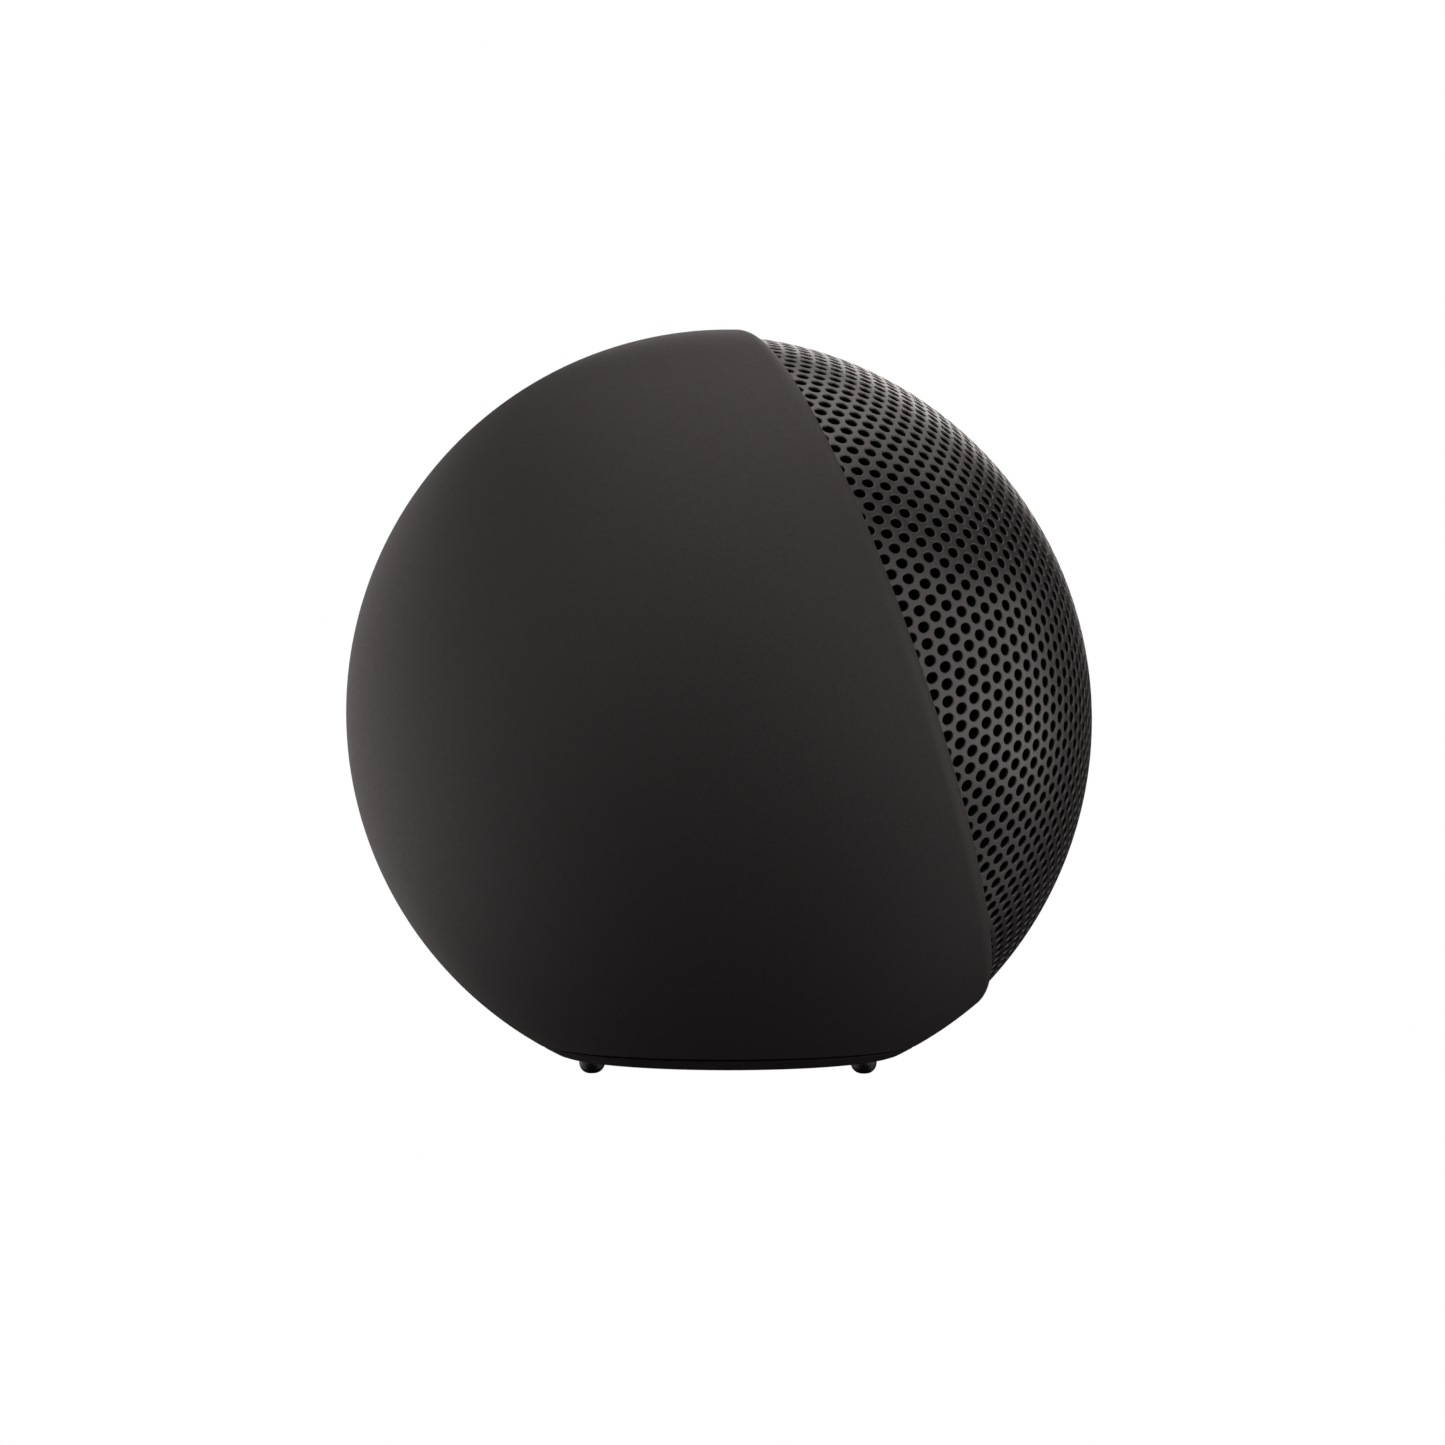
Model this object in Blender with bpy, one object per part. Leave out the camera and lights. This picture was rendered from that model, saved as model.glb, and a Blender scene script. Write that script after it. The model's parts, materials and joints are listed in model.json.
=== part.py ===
"""A ball-shaped smart speaker: a smooth rear shell, a domed front grille, and everything inside it.

World frame: origin on the standing surface under the middle of the speaker, +Z up, grille towards -Y.
All dimensions are in millimetres; the mesh helpers turn them into metres.
"""

import math

import bmesh
import bpy
from mathutils import Euler, Matrix, Vector

MM = 0.001

# Driving dimensions
SPHERE_R = 50.0
BASE_CUT = 45.0
SHELL_END = 43.5
FOOT_HEIGHT = 1.5
SPHERE_Y = -1.247
SPHERE_Z = BASE_CUT + FOOT_HEIGHT
FRONT_TILT = math.radians(19.8)
WALL = 2.2
GAP = 0.3

# Grille dome: a second sphere, set back along the front axis
GRILLE_R = 50.1
GRILLE_SETBACK = 2.75
GRILLE_THICKNESS = 0.8
GRILLE_EDGE = 17.5
CLOTH_THICKNESS = 0.4
CLOTH_EDGE = 18.2

# Lip of the shell round the grille
LIP_HEIGHT = 18.4
LIP_ROUND = 2.8
SHELF = 17.2
MOUTH_R = 45.2

# Front assembly, heights along the front axis
BAFFLE_R = 44.9
BAFFLE_BACK = 10.9
BAFFLE_FRONT = 13.9
LUG_R = 4.2
LUG_CIRCLE = 43.9
BAFFLE_SCREW_CIRCLE = 42.2
DRIVER_HOLE_R = 22.7
DRIVER_SCREW_CIRCLE = 25.6
FLANGE_BACK = 15.2
FLANGE_FRONT = 16.2

# Electronics behind the speaker chamber
CHAMBER_BACK = -17.0
BOARD_FRONT = -20.0
BOARD_BACK = -21.6
BOARD_SCREW_CIRCLE = 22.0

# Controls on top, round an axis that leans back from the vertical
CONTROL_LEAN = math.radians(27.0)
BUTTON_SPREAD = math.radians(9.2)
MIC_SPREAD = math.radians(16.0)
BUTTON_R = 3.0
BUTTON_BOARD_R = 15.0
BUTTON_BOARD_TOP = 41.2
BUTTON_BOARD_BOTTOM = 40.0

# Base
OPENING_R = 22.2
BASE_PLATE_TOP = 2.7
FOOT_R = 1.5
FOOT_ROUND = 1.0
FOOT_X = 10.7
FOOT_Y = 16.65
BASE_SCREW_CIRCLE = 13.0

BODY_SEGMENTS = 36
DRIVER_SEGMENTS = 20
SMALL_SEGMENTS = 12
DIAGONALS = [math.radians(angle) for angle in (45, 135, 225, 315)]

MATERIALS = {
    "shell_plastic": ((0.030, 0.028, 0.027), 0.55, 0.0),
    "grille_paint": ((0.150, 0.140, 0.135), 0.45, 0.6),
    "acoustic_cloth": ((0.004, 0.004, 0.004), 0.95, 0.0),
    "frame_plastic": ((0.020, 0.020, 0.022), 0.60, 0.0),
    "foam": ((0.030, 0.030, 0.030), 0.95, 0.0),
    "pressed_steel": ((0.080, 0.080, 0.085), 0.40, 0.9),
    "plated_steel": ((0.520, 0.520, 0.530), 0.30, 1.0),
    "ferrite": ((0.050, 0.050, 0.055), 0.50, 0.2),
    "copper_winding": ((0.640, 0.300, 0.130), 0.35, 1.0),
    "cone_paper": ((0.025, 0.025, 0.026), 0.80, 0.0),
    "soft_rubber": ((0.012, 0.012, 0.012), 0.50, 0.0),
    "spider_cloth": ((0.480, 0.300, 0.110), 0.90, 0.0),
    "circuit_board": ((0.010, 0.110, 0.050), 0.40, 0.0),
    "component_black": ((0.020, 0.020, 0.020), 0.45, 0.0),
    "cast_aluminium": ((0.600, 0.600, 0.620), 0.45, 1.0),
    "cast_steel": ((0.200, 0.200, 0.210), 0.55, 1.0),
    "light_pipe": ((0.800, 0.850, 0.900), 0.20, 0.0),
    "wire_jacket": ((0.250, 0.020, 0.020), 0.50, 0.0),
    "ribbon_film": ((0.700, 0.450, 0.150), 0.40, 0.0),
}


def material(name):
    """The named material, made once."""
    if name in bpy.data.materials:
        return bpy.data.materials[name]
    colour, roughness, metallic = MATERIALS[name]
    made = bpy.data.materials.new(name)
    made.use_nodes = True
    shader = made.node_tree.nodes["Principled BSDF"]
    shader.inputs["Base Color"].default_value = (*colour, 1.0)
    shader.inputs["Roughness"].default_value = roughness
    shader.inputs["Metallic"].default_value = metallic
    return made


def axis_empty(name, rotation=(0.0, 0.0, 0.0), location=(0.0, SPHERE_Y, SPHERE_Z)):
    """An empty whose local Z is the axis of the pieces hung on it."""
    empty = bpy.data.objects.new(name, None)
    empty.location = Vector(location) * MM
    empty.rotation_euler = rotation
    bpy.context.scene.collection.objects.link(empty)
    return empty


def finish(name, shape, parent, slot, place=(0.0, 0.0, 0.0)):
    """Turns a bmesh in millimetres into a named object in metres, hung on its axis."""
    bmesh.ops.recalc_face_normals(shape, faces=shape.faces)
    bmesh.ops.scale(shape, vec=(MM, MM, MM), verts=shape.verts)
    mesh = bpy.data.meshes.new(name)
    shape.to_mesh(mesh)
    shape.free()
    mesh.shade_smooth()
    mesh.set_sharp_from_angle(angle=math.radians(35))
    obj = bpy.data.objects.new(name, mesh)
    obj.parent = parent
    obj.location = Vector(place) * MM
    bpy.context.scene.collection.objects.link(obj)
    if slot:
        mesh.materials.append(material(slot))
    else:
        obj.hide_render = True
        obj.display_type = "WIRE"
    return obj


def add_turned(shape, profile, segments):
    """Turns a profile of (radius, height) points about local Z; a profile off the axis closes on itself."""
    rings = []
    for radius, height in profile:
        if radius == 0.0:
            rings.append([shape.verts.new((0.0, 0.0, height))] * segments)
            continue
        turn = [2 * math.pi * step / segments for step in range(segments)]
        rings.append([shape.verts.new((radius * math.cos(a), radius * math.sin(a), height)) for a in turn])
    pairs = list(zip(rings, rings[1:]))
    if profile[0][0] > 0.0:
        pairs.append((rings[-1], rings[0]))
    for low, high in pairs:
        for step in range(segments):
            after = (step + 1) % segments
            corners = [low[step], low[after], high[after], high[step]]
            corners = list(dict.fromkeys(corners))
            if len(corners) > 2:
                shape.faces.new(corners)


def turned(name, profile, parent, slot, segments=DRIVER_SEGMENTS, place=(0.0, 0.0, 0.0)):
    shape = bmesh.new()
    add_turned(shape, profile, segments)
    return finish(name, shape, parent, slot, place)


def prism(name, outline, low, high, parent, slot, place=(0.0, 0.0, 0.0)):
    """A straight prism on an outline of (x, y) points, from height low to high."""
    shape = bmesh.new()
    floor = [shape.verts.new((x, y, low)) for x, y in outline]
    roof = [shape.verts.new((x, y, high)) for x, y in outline]
    shape.faces.new(floor)
    shape.faces.new(roof)
    for index in range(len(outline)):
        after = (index + 1) % len(outline)
        shape.faces.new((floor[index], floor[after], roof[after], roof[index]))
    return finish(name, shape, parent, slot, place)


def rounded_rectangle(width, height, radius, corner_steps=3):
    """The outline of a rectangle with round corners, about its middle."""
    points = []
    for quarter, (sx, sy) in enumerate(((1, 1), (-1, 1), (-1, -1), (1, -1))):
        for step in range(corner_steps + 1):
            angle = math.pi / 2 * (quarter + step / corner_steps)
            x = sx * (width / 2 - radius) + radius * math.cos(angle)
            y = sy * (height / 2 - radius) + radius * math.sin(angle)
            points.append((x, y))
    return points


def frame_prism(name, outer, inner, low, high, parent):
    """A hollow prism between two outlines with the same number of points."""
    shape = bmesh.new()
    loops = []
    for outline, height in ((outer, low), (outer, high), (inner, high), (inner, low)):
        loops.append([shape.verts.new((x, y, height)) for x, y in outline])
    for index, loop in enumerate(loops):
        other = loops[(index + 1) % len(loops)]
        for step in range(len(loop)):
            after = (step + 1) % len(loop)
            shape.faces.new((loop[step], loop[after], other[after], other[step]))
    return finish(name, shape, parent, None)


def posts(name, spots, low, high, radius, parent, segments=SMALL_SEGMENTS):
    """Guide cylinders along local Z at the (x, y) spots, for a union or a cut."""
    shape = bmesh.new()
    for x, y in spots:
        start = len(shape.verts)
        add_turned(shape, [(0.0, low), (radius, low), (radius, high), (0.0, high)], segments)
        shape.verts.ensure_lookup_table()
        bmesh.ops.translate(shape, vec=(x, y, 0.0), verts=shape.verts[start:])
    return finish(name, shape, parent, None)


def combine(obj, tool, operation):
    """Adds an exact Boolean with the guide object."""
    step = obj.modifiers.new(tool.name, "BOOLEAN")
    step.operation = operation
    step.solver = "EXACT"
    step.object = tool


def on_circle(radius, angles):
    return [(radius * math.cos(angle), radius * math.sin(angle)) for angle in angles]


def arc(centre, radius, start, end, steps):
    """Points of (radius, height) on an arc, both ends included; angles in degrees from outwards."""
    points = []
    for step in range(steps + 1):
        angle = math.radians(start + (end - start) * step / steps)
        points.append((centre[0] + radius * math.cos(angle), centre[1] + radius * math.sin(angle)))
    return points


def radius_at(sphere_radius, height):
    return math.sqrt(sphere_radius**2 - height**2)


# Casing ---------------------------------------------------------------------------------------------------


def shell_profile():
    """Outer sphere, rounded lip, the shelf that the grille's edge sits on, and the inner sphere."""
    edge = Vector((radius_at(GRILLE_R + GAP, LIP_HEIGHT + GRILLE_SETBACK), LIP_HEIGHT))
    inset = SPHERE_R - LIP_ROUND
    spread = math.acos((inset**2 + edge.length_squared - LIP_ROUND**2) / (2 * inset * edge.length))
    tangent = math.degrees(math.atan2(edge.y, edge.x) - spread)
    centre = (inset * math.cos(math.radians(tangent)), inset * math.sin(math.radians(tangent)))
    lip_end = math.degrees(math.atan2(edge.y - centre[1], edge.x - centre[0]))
    back = arc((0.0, 0.0), SPHERE_R, -90, 0, 9)
    front = arc((0.0, 0.0), SPHERE_R, 0, tangent, 3)
    lip = arc(centre, LIP_ROUND, tangent, lip_end, 4)
    under = [(radius_at(GRILLE_R + GAP, SHELF + GRILLE_SETBACK), SHELF), (MOUTH_R, SHELF)]
    inside_r = SPHERE_R - WALL
    mouth_angle = math.degrees(math.acos(MOUTH_R / inside_r))
    inside = arc((0.0, 0.0), inside_r, mouth_angle, -90, 9)
    profile = back + front[1:] + lip[1:] + under + inside
    return [(0.0, profile[0][1])] + profile[1:-1] + [(0.0, profile[-1][1])]


def rear_shell(front_axis, control_axis, button_axes, mic_axes, base_axis):
    shell = turned("rear_shell", shell_profile(), front_axis, "shell_plastic", BODY_SEGMENTS)
    lugs = posts("shell_lugs", on_circle(LUG_CIRCLE, DIAGONALS), 2.0, BAFFLE_BACK - GAP, LUG_R, front_axis)
    combine(shell, lugs, "UNION")
    post_spots = on_circle(13.0, DIAGONALS[:2])
    board_posts = posts("shell_board_posts", post_spots, BUTTON_BOARD_TOP + GAP, 47.5, 1.8, control_axis, 8)
    combine(shell, board_posts, "UNION")
    below = SPHERE_Z - SHELL_END
    opening = [(0.0, -5.0), (40.0, -5.0), (40.0, below), (OPENING_R, below), (OPENING_R, 12.0), (0.0, 12.0)]
    combine(shell, turned("shell_opening", opening, base_axis, None, 32), "DIFFERENCE")
    pilot_spots = on_circle(BAFFLE_SCREW_CIRCLE, DIAGONALS)
    pilots = posts("shell_pilot_holes", pilot_spots, 4.5, 12.0, 1.0, front_axis, 8)
    combine(shell, pilots, "DIFFERENCE")
    port = prism("shell_port", rounded_rectangle(9.7, 3.86, 1.9), -52.0, -46.0, front_axis, None)
    combine(shell, port, "DIFFERENCE")
    for index, axis in enumerate(button_axes, 1):
        hole = posts(f"shell_button_hole_{index}", [(0.0, 0.0)], 45.5, 52.0, BUTTON_R + 0.35, axis, 16)
        combine(shell, hole, "DIFFERENCE")
    for index, axis in enumerate(mic_axes, 1):
        hole = posts(f"shell_mic_hole_{index}", [(0.0, 0.0)], 45.5, 52.0, 0.5, axis, 8)
        combine(shell, hole, "DIFFERENCE")
    light = posts("shell_light_hole", [(0.0, 0.0)], 45.5, 52.0, 1.3, control_axis, 10)
    combine(shell, light, "DIFFERENCE")
    return shell


def dome(name, radius, thickness, edge, parent, slot, steps):
    """A thin dome on the grille's centre, cut flat at the height edge."""
    centre = (0.0, -GRILLE_SETBACK)
    level = edge + GRILLE_SETBACK
    outer_end = math.degrees(math.asin(level / radius))
    inner_end = math.degrees(math.asin(level / (radius - thickness)))
    outer = arc(centre, radius, outer_end, 90, steps)
    inner = arc(centre, radius - thickness, 90, inner_end, steps)
    profile = [(0.0, outer[-1][1])] + list(reversed(outer[:-1]))
    profile += list(reversed(inner[1:])) + [(0.0, inner[0][1])]
    return turned(name, profile, parent, slot, BODY_SEGMENTS)


def front_pieces(axis):
    dome("front_grille", GRILLE_R, GRILLE_THICKNESS, GRILLE_EDGE, axis, "grille_paint", 7)
    cloth_r = GRILLE_R - GRILLE_THICKNESS - GAP
    dome("acoustic_cloth", cloth_r, CLOTH_THICKNESS, CLOTH_EDGE, axis, "acoustic_cloth", 5)
    seat = BAFFLE_FRONT + GAP
    ring = [(42.2, seat), (BAFFLE_R, seat), (BAFFLE_R, 16.9), (43.7, 17.7), (42.2, 19.8)]
    turned("grille_ring", ring, axis, "frame_plastic", BODY_SEGMENTS)
    plate = [(DRIVER_HOLE_R, BAFFLE_BACK), (BAFFLE_R, BAFFLE_BACK), (BAFFLE_R, BAFFLE_FRONT),
             (DRIVER_HOLE_R, BAFFLE_FRONT)]
    baffle = turned("baffle_plate", plate, axis, "frame_plastic", BODY_SEGMENTS)
    corners = on_circle(BAFFLE_SCREW_CIRCLE, DIAGONALS)
    combine(baffle, posts("baffle_screw_holes", corners, 9.0, 15.0, 1.3, axis, 8), "DIFFERENCE")
    combine(baffle, posts("baffle_counterbores", corners, 12.2, 15.0, 2.2, axis), "DIFFERENCE")
    pilots = posts("baffle_pilot_holes", on_circle(DRIVER_SCREW_CIRCLE, DIAGONALS), 9.0, 15.0, 1.1, axis, 8)
    combine(baffle, pilots, "DIFFERENCE")
    for index, (x, y) in enumerate(corners, 1):
        screw(f"baffle_screw_{index}", (x, y), 12.5, 5.2, 1.9, 0.7, axis)


def screw(name, spot, head_base, tip, head_r, shank_r, axis, slot="plated_steel"):
    """A pan-head screw with a centre recess: the head stands 1.2 mm off head_base, the shank ends at tip."""
    way = 1.0 if head_base > tip else -1.0
    profile = [(0.0, tip), (shank_r, tip + way * shank_r), (shank_r, head_base), (head_r, head_base),
               (head_r, head_base + way * 0.7), (head_r * 0.7, head_base + way * 1.2),
               (head_r * 0.4, head_base + way * 1.2), (0.0, head_base + way * 0.6)]
    return turned(name, profile, axis, slot, 8, (*spot, 0.0))


# Loudspeaker ----------------------------------------------------------------------------------------------


def driver_basket(axis):
    """Pressed frame: mounting flange, tapering wall with a landing for the spider, and a bottom ring."""
    profile = [(9.6, -0.6), (17.6, -0.6), (17.6, 1.0), (19.6, 3.0), (22.3, FLANGE_BACK), (27.5, FLANGE_BACK),
               (27.5, FLANGE_FRONT), (21.4, FLANGE_FRONT), (21.4, 14.2), (18.4, 4.6), (18.4, 3.6),
               (16.4, 3.6), (16.4, 0.4), (9.6, 0.4)]
    basket = turned("driver_basket", profile, axis, "pressed_steel")
    holes = posts("basket_screw_holes", on_circle(DRIVER_SCREW_CIRCLE, DIAGONALS), 14.0, 18.0, 1.1, axis, 8)
    combine(basket, holes, "DIFFERENCE")
    between = [angle + math.pi / 4 for angle in DIAGONALS]
    windows = posts("basket_windows", on_circle(22.0, between), 5.6, 12.4, 5.5, axis)
    combine(basket, windows, "DIFFERENCE")


def driver_pieces(axis):
    driver_basket(axis)
    turned("driver_gasket", [(22.9, 14.2), (24.0, 14.2), (24.0, 14.9), (22.9, 14.9)], axis, "foam")
    for index, spot in enumerate(on_circle(DRIVER_SCREW_CIRCLE, DIAGONALS), 1):
        screw(f"driver_screw_{index}", spot, FLANGE_FRONT + GAP, 11.3, 1.6, 0.8, axis)
    turned("driver_top_plate", [(9.3, -3.9), (17.5, -3.9), (17.5, -0.9), (9.3, -0.9)], axis, "plated_steel")
    turned("driver_magnet", [(11.0, -10.2), (19.0, -10.2), (19.0, -4.2), (11.0, -4.2)], axis, "ferrite")
    yoke = [(0.0, -13.5), (17.5, -13.5), (17.5, -10.5), (7.7, -10.5), (7.7, -0.9), (0.0, -0.9)]
    turned("driver_yoke", yoke, axis, "plated_steel")
    coil = [(8.1, -3.2), (8.9, -3.2), (8.9, 1.8), (8.6, 1.8), (8.6, 8.7), (8.1, 8.7)]
    turned("voice_coil", coil, axis, "copper_winding")
    cone = [(8.9, 9.0), (17.2, 15.3), (17.2, 15.9), (8.9, 9.6)]
    turned("speaker_cone", cone, axis, "cone_paper")
    turned("dust_cap", dust_cap_profile(), axis, "cone_paper")
    turned("cone_surround", surround_profile(), axis, "soft_rubber")
    turned("driver_spider", spider_profile(), axis, "spider_cloth")


def dust_cap_profile():
    """A shallow cap, 0.5 mm thick, 2.8 mm high over its rim."""
    rim, low, rise, thickness = 9.8, 10.6, 2.8, 0.5
    outer = (rim**2 + rise**2) / (2 * rise)
    centre = (0.0, low + rise - outer)
    sweep = math.degrees(math.asin(rim / outer))
    top = arc(centre, outer, 90 - sweep, 90, 4)
    under = arc(centre, outer - thickness, 90, 90 - sweep * 0.985, 4)
    return [(0.0, top[-1][1])] + list(reversed(top[:-1])) + list(reversed(under[1:])) + [(0.0, under[0][1])]


def surround_profile():
    """A half roll between the cone's rim and the flange, with a flat glue land on each side."""
    middle, roll, thickness, land = 19.6, 2.1, 0.4, FLANGE_FRONT + GAP
    over = arc((middle, land + thickness), roll + thickness / 2, 0, 180, 6)
    under = arc((middle, land), roll - thickness / 2, 180, 0, 6)
    return [(23.9, land), (23.9, land + thickness)] + over + [(16.2, land + thickness), (16.2, land)] + under


def spider_profile():
    """A corrugated disc from the coil to the landing in the basket."""
    inner, outer, base, thickness, waves, height = 9.2, 18.1, 4.0, 0.4, 2, 0.5
    steps = waves * 4
    top, under = [], []
    for step in range(steps + 1):
        along = step / steps
        radius = inner + (outer - inner) * along
        lift = height * math.sin(2 * math.pi * waves * along) * min(1.0, 2.5 * min(along, 1 - along) + 0.2)
        height_here = base + height + lift
        under.append((radius, height_here))
        top.append((radius, height_here + thickness))
    return under + list(reversed(top))


def speaker_chamber(axis):
    """The closed cup behind the driver, with the bosses that carry the main board."""
    top = BAFFLE_BACK - GAP
    profile = [(0.0, CHAMBER_BACK), (26.5, CHAMBER_BACK), (27.5, 8.6), (31.0, 8.6), (31.0, top), (25.6, top),
               (24.7, CHAMBER_BACK + 1.7), (0.0, CHAMBER_BACK + 1.7)]
    cup = turned("speaker_chamber", profile, axis, "frame_plastic")
    spots = board_screw_spots()
    combine(cup, posts("chamber_bosses", spots, BOARD_FRONT + GAP, CHAMBER_BACK + 1.0, 2.4, axis), "UNION")
    combine(cup, posts("chamber_pilot_holes", spots, -20.5, CHAMBER_BACK + 0.2, 1.0, axis, 8), "DIFFERENCE")


def board_screw_spots():
    return on_circle(BOARD_SCREW_CIRCLE, [math.radians(angle) for angle in (30, 150, 270)])


# Electronics ----------------------------------------------------------------------------------------------


def electronics(axis):
    speaker_chamber(axis)
    disc = [(0.0, BOARD_BACK), (30.0, BOARD_BACK), (30.0, BOARD_FRONT), (0.0, BOARD_FRONT)]
    board = turned("main_board", disc, axis, "circuit_board", BODY_SEGMENTS)
    combine(board, posts("board_screw_holes", board_screw_spots(), -23.0, -19.0, 1.2, axis, 8), "DIFFERENCE")
    for index, spot in enumerate(board_screw_spots(), 1):
        screw(f"board_screw_{index}", spot, BOARD_BACK - GAP, -17.3, 1.8, 0.7, axis)
    can_place = (0.0, 11.0, 0.0)
    prism("shield_can", rounded_rectangle(26.0, 15.0, 1.0, 2), -24.6, BOARD_BACK - GAP, axis, "plated_steel",
          can_place)
    heat_sink(axis, can_place)
    for index, x in enumerate((-16.0, 16.0), 1):
        body = [(0.0, -30.5), (2.7, -30.5), (3.2, -30.0), (3.2, -21.9), (0.0, -21.9)]
        turned(f"capacitor_{index}", body, axis, "cast_aluminium", 16, (x, -9.0, 0.0))
    prism("power_inductor", rounded_rectangle(7.0, 7.0, 1.2, 2), -25.6, -21.9, axis, "component_black",
          (-7.0, -13.5, 0.0))
    prism("power_board", rounded_rectangle(18.0, 1.0, 0.2, 1), -45.5, -22.0, axis, "circuit_board",
          (0.0, -2.5, 0.0))
    usb_socket(axis)
    speaker_lead(axis)


def heat_sink(axis, place):
    """A finned plate on the shield can; the fins run across."""
    fins, width, base, fin_top, thickness = 5, 15.0, -26.4, -33.0, 1.2
    pitch = (width - thickness) / (fins - 1)
    outline = [(-width / 2, -24.9), (-width / 2, fin_top)]
    for fin in range(fins):
        left = -width / 2 + fin * pitch
        if fin:
            outline += [(left, base), (left, fin_top)]
        outline.append((left + thickness, fin_top))
        if fin < fins - 1:
            outline.append((left + thickness, base))
    outline.append((width / 2, -24.9))
    sink = prism("heat_sink", outline, -13.0, 13.0, axis, "cast_aluminium", place)
    sink.rotation_euler = Euler((math.pi / 2, 0.0, math.pi / 2))
    return sink


def usb_socket(axis):
    """The power inlet on the shell's rear pole: a round-cornered tube with a tongue."""
    body = prism("usb_socket", rounded_rectangle(9.0, 3.2, 1.5), -49.3, -42.0, axis, "plated_steel")
    pocket = frame_prism("usb_pocket", rounded_rectangle(8.4, 2.6, 1.25), rounded_rectangle(6.7, 0.7, 0.3),
                         -50.0, -43.2, axis)
    combine(body, pocket, "DIFFERENCE")


def speaker_lead(axis):
    """Twin lead from the main board, forward beside the chamber, into its side."""
    places = ((-26.0, -13.0, BOARD_FRONT + 1.3), (-28.0, -14.0, -17.0), (-28.5, -12.5, -10.0),
              (-29.6, -8.0, -3.0), (-29.4, -3.0, 0.5), (-28.2, 0.0, 1.0))
    route = [Vector(place) for place in places]
    curve = bpy.data.curves.new("speaker_lead", "CURVE")
    curve.dimensions = "3D"
    curve.bevel_depth = 0.7 * MM
    curve.bevel_resolution = 2
    curve.use_fill_caps = True
    spline = curve.splines.new("POLY")
    points = smooth_route(route, 5)
    spline.points.add(len(points) - 1)
    for slot, point in zip(spline.points, points):
        slot.co = (*(point * MM), 1.0)
    curve.materials.append(material("wire_jacket"))
    lead = bpy.data.objects.new("speaker_lead", curve)
    lead.parent = axis
    bpy.context.scene.collection.objects.link(lead)


def smooth_route(route, steps):
    """Points on a smooth curve through the route's own points."""
    padded = [route[0] * 2 - route[1]] + route + [route[-1] * 2 - route[-2]]
    points = []
    for before, start, end, after in zip(padded, padded[1:], padded[2:], padded[3:]):
        for step in range(steps):
            t = step / steps
            bend = (before * -1 + start * 3 - end * 3 + after) * t**3
            slope = (before * 2 - start * 5 + end * 4 - after) * t**2
            points.append((start * 2 + (end - before) * t + slope + bend) / 2)
    return points + [route[-1]]


# Controls -------------------------------------------------------------------------------------------------


def button_profile():
    """Domed cap, retaining flange under the shell, and a round-ended plunger."""
    cap_top = SPHERE_R + 0.35
    dome_edge = math.degrees(math.acos((BUTTON_R - 0.4) / cap_top))
    cap = arc((0.0, 0.0), cap_top, dome_edge, 90, 2)
    side = [(BUTTON_R, cap[0][1] - 0.4), (BUTTON_R, 46.9), (3.9, 46.9), (3.9, 46.0), (1.2, 46.0), (1.2, 45.0)]
    return [(0.0, cap[-1][1])] + list(reversed(cap[:-1])) + side + [(0.0, 44.6)]


def controls(control_axis, button_axes, mic_axes):
    names = ("volume_up_button", "action_button", "volume_down_button", "mute_button")
    for name, axis in zip(names, button_axes):
        turned(name, button_profile(), axis, "shell_plastic", 16)
    disc = [(0.0, BUTTON_BOARD_BOTTOM), (BUTTON_BOARD_R, BUTTON_BOARD_BOTTOM),
            (BUTTON_BOARD_R, BUTTON_BOARD_TOP), (0.0, BUTTON_BOARD_TOP)]
    turned("button_board", disc, control_axis, "circuit_board", 32)
    reach = 44.6 * math.sin(BUTTON_SPREAD)
    seat = BUTTON_BOARD_TOP + 0.2
    for index, turn in enumerate((0, 90, 180, 270), 1):
        spot = on_circle(reach, [math.radians(turn)])[0]
        can = [(0.0, seat), (1.9, seat), (1.9, seat + 1.2)]
        body = can + [(0.9, seat + 1.2), (0.9, seat + 1.6), (0.0, seat + 1.6)]
        turned(f"tactile_switch_{index}", body, control_axis, "component_black", SMALL_SEGMENTS, (*spot, 0.0))
    for index, turn in enumerate((225, 315), 1):
        spot = on_circle(12.2, [math.radians(turn)])[0]
        can = [(0.0, seat), (1.5, seat), (1.5, seat + 1.1)]
        body = can + [(0.5, seat + 1.1), (0.5, seat + 0.8), (0.0, seat + 0.8)]
        turned(f"microphone_{index}", body, control_axis, "plated_steel", SMALL_SEGMENTS, (*spot, 0.0))
    pipe = [(0.0, 41.7), (1.0, 41.7), (1.0, 45.3), (1.8, 45.3), (1.8, 46.3), (1.0, 46.3)]
    pipe += [(1.0, 49.8), (0.0, 50.0)]
    turned("status_light_pipe", pipe, control_axis, "light_pipe", SMALL_SEGMENTS)


def button_ribbon(base_axis):
    """Flat cable between the two boards: a thin strip with a slight bow, 6 mm wide."""
    steps, thickness, bow = 10, 0.25, 1.5
    start, end = Vector((26.9, 30.3)), Vector((26.9, 17.2))
    near, far = [], []
    for step in range(steps + 1):
        along = step / steps
        point = start.lerp(end, along)
        y = point.x - bow * math.sin(math.pi * along)
        z = SPHERE_Z + point.y
        near.append((y, z))
        far.append((y + thickness, z))
    strip = prism("button_ribbon", near + list(reversed(far)), -3.0, 3.0, base_axis, "ribbon_film")
    strip.rotation_euler = Euler((math.pi / 2, 0.0, math.pi / 2))


# Base -----------------------------------------------------------------------------------------------------


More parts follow.
